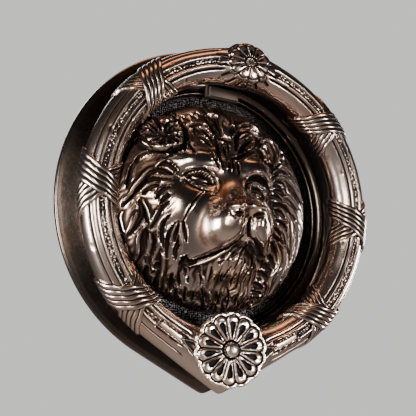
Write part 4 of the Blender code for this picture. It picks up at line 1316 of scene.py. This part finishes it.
def make_rosette():
    """The large flower at the foot, turned a little to the left, on a thick scalloped border."""
    rows, columns = 90, ROSE_PETALS * 44
    petals_radius, lean, button, stretch = 16.9, 0.07, 3.8, 1.04
    angles = (tau * np.arange(columns) / columns)[None, :]
    shares = np.linspace(0.16, 1.0, rows)[:, None]
    rim = scalloped_rim(angles, ROSE_PETALS, ROSE_RADIUS + 0.9)
    radii = shares * (ROSE_RADIUS + (rim - ROSE_RADIUS) * step_up(shares, 0.9, 1.0))
    body, drop, border = flower_relief(radii, angles, ROSE_PETALS, petals_radius, button)
    moat = valley(radii, 4.3, 1.0)
    dome = 1.0 - 0.5 * (radii / ROSE_RADIUS) ** 2
    depth = 2.0 + body * (1.2 + 0.6 * dome) * (1.0 - border) + 1.1 * border - 1.4 * drop - 0.8 * moat
    depth = depth - 0.5 * step_up(shares, 0.97, 1.0) + lean * radii * np.sin(angles)
    depth = depth + 0.08 * mottle(radii * np.cos(angles), radii * np.sin(angles), 3.0, 51)
    wide = stretch * np.sin(angles)
    front = spots(radii * wide, ROSE_BACK + depth, -ROSE_BELOW + radii * np.cos(angles))
    edge_rows = []
    for inset, level in ((0.1, 0.7), (0.3, 0.2), (0.9, 0.0), (4.0, 0.0)):
        ring = rim - inset
        edge_rows.append(spots(ring * wide, ROSE_BACK + level, -ROSE_BELOW + ring * np.cos(angles)))
    bore = RIVET_RADIUS + GAP
    edge_rows.append(spots(bore * np.sin(angles), ROSE_BACK, -ROSE_BELOW + bore * np.cos(angles)))
    points = hung(np.concatenate([front, *edge_rows]))
    gaps = np.clip(0.6 - body, 0.0, 0.6) * (1.0 - border)
    grime = np.clip(drop + 0.6 * moat + gaps, 0.0, 0.9)
    tone = np.concatenate([0.04 - grime, np.zeros((len(edge_rows), columns))])
    faces = grid_faces(rows + len(edge_rows), columns, close_rows=True)
    dress(shape("foot_rosette", points, faces), "ring", "brass", ("lower_rosette",), tone)


def make_top_flower():
    """The small flower cast on the ring's top, standing on a scalloped border that follows the
    swollen rod."""
    rows, columns, button, stretch = 84, TOP_PETALS * 40, 2.2, 1.14
    angles = (tau * np.arange(columns) / columns)[None, :] + 0.1
    shares = np.linspace(0.01, 1.0, rows)[:, None]
    rim = scalloped_rim(angles, TOP_PETALS, FLOWER_RADIUS + 1.9) + 1.0 * np.sin(angles)
    radii = shares * (FLOWER_RADIUS + 1.0 + (rim - FLOWER_RADIUS - 1.0) * step_up(shares, 0.80, 1.0))
    squat = np.where(np.cos(angles) < 0.0, 0.78, 1.0)
    across, height = stretch * radii * np.sin(angles), squat * radii * np.cos(angles)
    body, drop, border = flower_relief(radii, angles, TOP_PETALS, FLOWER_RADIUS, button, 0.42, 1.6)
    from_rod = FLOWER_HEIGHT + height + RING_BELOW - RING_RADIUS
    drape = RING_FORWARD + np.sqrt(np.maximum(4.0, 139.0 - 0.62 * from_rod**2 - 0.34 * across**2))
    disc = 24.3 - 0.012 * radii**2 + 1.2 * body - 1.2 * drop
    disc = disc - 0.8 * valley(radii, 3.0, 0.9) + 0.5 * valley(radii, 1.7, 1.0)
    seam = np.abs(np.sin(angles * TOP_PETALS / 2)) ** 14
    outer = drape + 0.5 - 0.5 * seam - 1.2 * step_up(shares, 0.94, 1.0)
    depth = disc * (1.0 - border) + outer * border
    front = spots(across, depth, FLOWER_HEIGHT + height)
    back = spots(across[-1:], 13.0, FLOWER_HEIGHT + height[-1:])
    points = hung(np.concatenate([front, back]))
    gaps = np.clip(0.6 - body, 0.0, 0.6) * (1.0 - border) * 1.4
    grime = np.clip(drop + gaps + valley(radii, 3.0, 0.9), 0.0, 0.9) * step_up(radii, 1.2, 2.0)
    tone = np.concatenate([0.02 - 0.5 * grime - 0.4 * seam * border, np.zeros((1, columns))])
    faces = grid_faces(rows + 1, columns)
    dress(shape("top_flower", points, faces), "ring", "ring", tone=tone)


# --------------------------------------------------------------- turned hardware

def turned(name, profile, center, axis="Y", steps=72, closed=False, place=None):
    """A turned shape. The profile lists (radius, place along the axis) in millimetres; along Y
    the place is a depth forward from the door, along X it is to the right."""
    profile = np.array(profile, dtype=float)
    angles = (tau * (np.arange(steps) + 0.5) / steps)[None, :]
    radii, along = profile[:, :1], profile[:, 1:] * np.ones_like(angles)
    first, second = center[0] + radii * np.cos(angles), center[1] + radii * np.sin(angles)
    points = spots(first, along, second) if axis == "Y" else spots(along, first, second)
    if place is not None:
        points = place(points)
    return shape(name, points, grid_faces(len(profile), steps, close_rows=closed))


def dome_profile(radius, foot, rise):
    """The profile of a shallow dome, from its foot to near its top."""
    turns = np.linspace(0.0, 0.97, 8) * pi / 2
    return [(radius * cos(turn), foot + rise * sin(turn)) for turn in turns]


def make_rivet():
    """The rivet through the rosette: a rough button in front and the striker's dome behind."""
    front = ROSE_BACK + 3.2 + GAP + 0.8
    back = RING_FORWARD - ROD_RADIUS + 3.0 - GAP
    tail = [(radius, STRIKER_TIP + 1.4 - depth) for radius, depth in dome_profile(STRIKER_RADIUS, 0.0, 1.4)]
    profile = [
        *reversed(tail), (STRIKER_RADIUS, back - 0.3), (STRIKER_RADIUS - 0.3, back), (RIVET_RADIUS, back),
        (RIVET_RADIUS, front), (RIVET_HEAD_RADIUS - 0.2, front), (RIVET_HEAD_RADIUS, front + 0.3),
        *dome_profile(RIVET_HEAD_RADIUS, front + 0.7, 1.4),
    ]
    rivet = turned("rosette_rivet", profile, (0.0, -ROSE_BELOW), place=hung, steps=96)
    places = vertex_array(rivet.data)
    rough = 0.10 * mottle(places[:, 0] / MM, places[:, 2] / MM, 1.6, 61)
    places[:, 1] -= rough * MM * step_up(-places[:, 1] / MM, 30.0, 36.0)
    rivet.data.vertices.foreach_set("co", places.ravel())
    dress(rivet, "ring", "brass", ("striker_rivet",), np.full(len(places), 0.12))


def make_anvil():
    """The button that the striker lands on, with its stem through the plate's tip."""
    under = FACET_DEPTH + GAP
    profile = [
        (ANVIL_STEM_RADIUS, 0.4), (ANVIL_STEM_RADIUS, under), (ANVIL_RADIUS - 0.2, under),
        (ANVIL_RADIUS, under + 0.2), *dome_profile(ANVIL_RADIUS, ANVIL_TOP - 1.2, 1.1),
    ]
    dress(turned("anvil", profile, (0.0, -STRIKE_BELOW)), "plate", "brass", ("anvil_button",))


def make_bracket():
    """Base in the rim's pocket, a raised nose that takes the screws, and two ears for the pin."""
    base, wide, center = SEAT_DEPTH + GAP, BRACKET_HALF_WIDTH, (PIN_DEPTH, PIN_HEIGHT)
    bracket = block("bracket_body", (-wide, base, BRACKET_LOW), (wide, BASE_TOP, BRACKET_HIGH))
    nose = block("nose", (-8.2, base + 1.0, BRACKET_LOW + 0.2), (8.2, NOSE_TOP - 1.2, 63.8))
    combine(bracket, nose, "UNION")
    for side in (-1, 1):
        near, far = sorted((side * EAR_INNER, side * EAR_OUTER))
        eye = turned("eye", ((EAR_RADIUS, near), (EAR_RADIUS, far)), center, axis="X", steps=48)
        low, high = PIN_HEIGHT - EAR_RADIUS + 0.02, PIN_HEIGHT + EAR_RADIUS - 0.02
        foot = block("foot", (near + 0.01, base + 1.0, low), (far - 0.01, PIN_DEPTH, high))
        combine(bracket, combine(eye, foot, "UNION"), "UNION")
    bore = ((PIN_RADIUS + GAP, -CLEAR_DEPTH), (PIN_RADIUS + GAP, CLEAR_DEPTH))
    combine(bracket, turned("bore", bore, center, axis="X", steps=48))
    for place in bracket_screw_places():
        combine(bracket, peg(SCREW_RADIUS + GAP, base - 1.0, BRACKET_SCREW_TOP + GAP, place))
    soften(bracket, 0.7)
    grime = np.full(len(bracket.data.vertices), -0.16)
    dress(bracket, "plate", "fixings", ("hinge_bracket",), grime)


def make_pin():
    """Headed hinge pin, with its push-on cap at the other end."""
    center = (PIN_DEPTH, PIN_HEIGHT)
    head = -EAR_OUTER - GAP
    dome = [(radius, head - 0.4 - depth) for radius, depth in dome_profile(PIN_HEAD_RADIUS, 0.0, 1.0)]
    profile = [
        *reversed(dome), (PIN_HEAD_RADIUS, head), (PIN_RADIUS, head), (PIN_RADIUS, PIN_TAIL - 0.4),
        (PIN_RADIUS - 0.4, PIN_TAIL),
    ]
    dress(turned("pin", profile, center, axis="X"), "plate", "steel", ("hinge_pin",))
    near, far = EAR_OUTER + GAP, PIN_TAIL + GAP
    profile = [
        (PIN_RADIUS + GAP, near), (PIN_HEAD_RADIUS, near), (PIN_HEAD_RADIUS, near + 0.6),
        (PIN_HEAD_RADIUS - 0.35, near + 0.9), (PIN_HEAD_RADIUS - 0.35, far),
        *dome_profile(PIN_HEAD_RADIUS - 0.4, far + 0.2, 0.9), (PIN_RADIUS + GAP - 1.9, far + 0.4),
        (PIN_RADIUS + GAP, far + 0.3),
    ]
    dress(turned("push_on_cap", profile, center, axis="X", closed=True), "plate", "steel", ("pin_retainer",))


def make_flat_screw(node, center, top):
    """A slotted countersunk screw, head to the door, with its thread."""
    pitch, per_turn = 0.8, 8
    cone_end = 0.4 + SCREW_HEAD_DEPTH
    rows = int((top - cone_end) / pitch * per_turn)
    rim = SCREW_HEAD_RADIUS
    head = np.array([(0.02, 0.1), (rim - 0.15, 0.1), (rim, 0.25), (rim, 0.4)])
    levels = np.concatenate([head[:, 1], np.linspace(cone_end, top, rows)])
    radii = np.concatenate([head[:, 0], np.full(rows, SCREW_RADIUS - 0.02)])
    screw = threaded(node + "_body", radii, levels, center, pitch, 0.28, start=len(head) + 3)
    slot_end, half_slot = 6.0, 0.5
    near = (center[0] - slot_end, -1.0, center[1] - half_slot)
    far = (center[0] + slot_end, 0.95, center[1] + half_slot)
    combine(screw, block("slot", near, far))
    dress(screw, "plate", "fixings", (node,))


def threaded(name, radii, levels, center, pitch, cut, start):
    """A rod with a helical thread cut into it, from row start onward."""
    steps = 40
    angles = (tau * np.arange(steps) / steps)[None, :]
    levels, radii = np.array(levels)[:, None], np.array(radii)[:, None]
    turn = (levels / pitch - angles / tau) % 1.0
    depth = cut * np.clip(1.6 * np.abs(turn - 0.5) - 0.1, 0.0, 0.6) / 0.6
    rows = np.arange(len(levels))[:, None]
    depth = np.where((rows >= start) & (rows < len(levels) - 1), depth, 0.0)
    reach = radii - depth
    points = spots(center[0] + reach * np.cos(angles), levels, center[1] + reach * np.sin(angles))
    return shape(name, points, grid_faces(len(levels), steps))


def make_stud(word, height):
    """A threaded stud through the door, with its washer and nut."""
    pitch = 1.0
    count = int((STUD_SOCKET - STUD_BACK) / pitch * 6)
    levels = np.linspace(STUD_BACK + 0.6, STUD_SOCKET - 0.6, count)
    levels = np.concatenate([[STUD_BACK], levels, [STUD_SOCKET]])
    radii = np.full(len(levels), STUD_RADIUS - 0.01)
    radii[[0, -1]] = STUD_RADIUS - 0.6
    stud = threaded(f"stud_{word}", radii, levels, (0.0, height), pitch, 0.4, start=1)
    dress(stud, "plate", "steel", (f"mounting_stud_{word}",))
    near = -DOOR_THICKNESS
    far = near - WASHER_THICK
    bore, rim = STUD_RADIUS + GAP, WASHER_RADIUS
    profile = (
        (bore, far + 0.1), (bore + 0.2, far), (rim - 0.35, far), (rim, far + 0.3), (rim, near - 0.2),
        (rim - 0.2, near), (bore, near),
    )
    washer = turned(f"washer_{word}", profile, (0.0, height), closed=True, steps=96)
    dress(washer, "plate", "steel", (f"stud_washer_{word}",))
    make_nut(word, height, far - GAP)


def make_nut(word, height, near):
    """A chamfered hexagon nut, its near face against the washer."""
    steps = 144
    angles = (tau * np.arange(steps) / steps)[None, :]
    far, bore = near - NUT_THICK, STUD_RADIUS + GAP
    flat = NUT_FLATS / 2.0 / np.cos((angles + pi / 6) % (pi / 3) - pi / 6)
    rows = []
    for level, limit in (
        (far, bore), (far, NUT_FLATS / 2.0 - 0.1), (far + 0.35, NUT_FLATS / 2.0 + 0.35), (far + 0.7, 9.0),
        (near - 0.7, 9.0), (near - 0.35, NUT_FLATS / 2.0 + 0.35), (near, NUT_FLATS / 2.0 - 0.1), (near, bore),
    ):
        reach = np.minimum(flat, limit)
        rows.append(spots(reach * np.cos(angles), level, height + reach * np.sin(angles)))
    nut = shape(f"nut_{word}", np.stack(rows), grid_faces(len(rows), steps, close_rows=True))
    dress(nut, "plate", "steel", (f"stud_nut_{word}",))


def make_camera():
    """The camera stands to the left of the knocker and below it, and looks up at it."""
    azimuth, elevation, roll, distance = radians(-27.6), radians(-12.6), radians(2.5), 0.503
    back = Vector((sin(azimuth) * cos(elevation), -cos(azimuth) * cos(elevation), sin(elevation)))
    right = Vector((0.0, 0.0, 1.0)).cross(back).normalized()
    up = back.cross(right)
    turn = Matrix((right, up, back)).transposed().to_4x4()
    data = bpy.data.cameras.new("camera")
    data.sensor_width = 36.0
    data.lens = 82.6
    data.shift_x = -0.0016
    data.shift_y = 0.0053
    data.clip_start = 0.01
    camera = bpy.data.objects.new("camera", data)
    camera.matrix_world = Matrix.Translation(back * distance) @ turn @ Matrix.Rotation(roll, 4, "Z")
    bpy.context.scene.collection.objects.link(camera)
    bpy.context.scene.camera = camera


def make_light(name, azimuth, elevation, distance, size, power, color):
    """A soft rectangular light aimed at the knocker's middle."""
    azimuth, elevation = radians(azimuth), radians(elevation)
    back = Vector((sin(azimuth) * cos(elevation), -cos(azimuth) * cos(elevation), sin(elevation)))
    data = bpy.data.lights.new(name, "AREA")
    data.shape = "RECTANGLE"
    data.size, data.size_y = size
    data.energy = power
    data.color = color
    data.spread = radians(60.0)
    light = bpy.data.objects.new(name, data)
    light.location = back * distance
    light.visible_camera = False
    light.rotation_mode = "QUATERNION"
    light.rotation_quaternion = back.to_track_quat("Z", "Y")
    bpy.context.scene.collection.objects.link(light)


def make_world():
    """A pale backdrop, an even grey light on the floor, and a dim room for the metal to mirror."""
    world = bpy.data.worlds.new("studio")
    bpy.context.scene.world = world
    world.use_nodes = True
    tree = world.node_tree
    tree.nodes.clear()
    rays = tree.nodes.new("ShaderNodeLightPath")
    shade = backdrop(tree, (0.22, 0.21, 0.23), 0.12)
    for ray, color, strength in (
        ("Is Diffuse Ray", (0.9, 0.9, 0.9), 0.30), ("Is Camera Ray", (0.86, 0.86, 0.85), 0.92),
    ):
        mix = tree.nodes.new("ShaderNodeMixShader")
        lit = backdrop(tree, color, strength)
        tree.links.new(rays.outputs[ray], mix.inputs["Fac"])
        tree.links.new(shade.outputs[0], mix.inputs[1])
        tree.links.new(lit.outputs[0], mix.inputs[2])
        shade = mix
    output = tree.nodes.new("ShaderNodeOutputWorld")
    tree.links.new(shade.outputs[0], output.inputs["Surface"])


def backdrop(tree, color, strength):
    """A plain world colour."""
    background = tree.nodes.new("ShaderNodeBackground")
    background.inputs["Color"].default_value = (*color, 1.0)
    background.inputs["Strength"].default_value = strength
    return background


def make_floor():
    """A plain pale floor, well below the knocker."""
    mesh = bpy.data.meshes.new("floor")
    half, level = 3.0, -0.30
    corners = [(-half, -half, level), (half, -half, level), (half, half, level), (-half, half, level)]
    mesh.from_pydata(corners, [], [(0, 1, 2, 3)])
    mesh.materials.append(floor_material())
    floor = bpy.data.objects.new("floor", mesh)
    bpy.context.scene.collection.objects.link(floor)


def make_lights():
    """Each light has an azimuth, an elevation, a distance, a size and a power."""
    make_light("key", -85.0, -6.0, 0.8, (0.22, 0.42), 2.9, (1.0, 0.96, 0.92))
    make_light("front", 29.0, -6.0, 0.9, (0.16, 0.18), 1.0, (1.0, 0.94, 0.88))
    make_light("left_front", -40.0, 2.0, 0.9, (0.10, 0.45), 0.85, (1.0, 0.94, 0.84))
    make_light("right_edge", 98.0, 0.0, 0.9, (0.14, 0.30), 1.1, (1.0, 0.94, 0.90))
    make_light("top", 5.0, 80.0, 0.8, (0.7, 0.24), 0.36, (1.0, 0.50, 0.26))
    make_light("behind", 170.0, 25.0, 1.0, (0.6, 0.6), 0.6, (1.0, 1.0, 1.0))


make_plate()
make_ground()
make_mask()
for number, place in enumerate(mask_screw_places(), start=1):
    make_mask_boss(number, place)
make_ring()
make_knuckle()
make_bindings()
make_rosette()
make_top_flower()
make_rivet()
make_anvil()
make_bracket()
make_pin()
for number, place in enumerate(mask_screw_places(), start=1):
    make_flat_screw(f"mask_screw_{number}", place, MASK_SCREW_TOP)
for word, place in zip(("left", "right"), bracket_screw_places()):
    make_flat_screw(f"bracket_screw_{word}", place, BRACKET_SCREW_TOP)
for word, height in (("upper", STUD_HEIGHT), ("lower", -STUD_HEIGHT)):
    make_stud(word, height)
make_camera()
make_world()
make_floor()
make_lights()
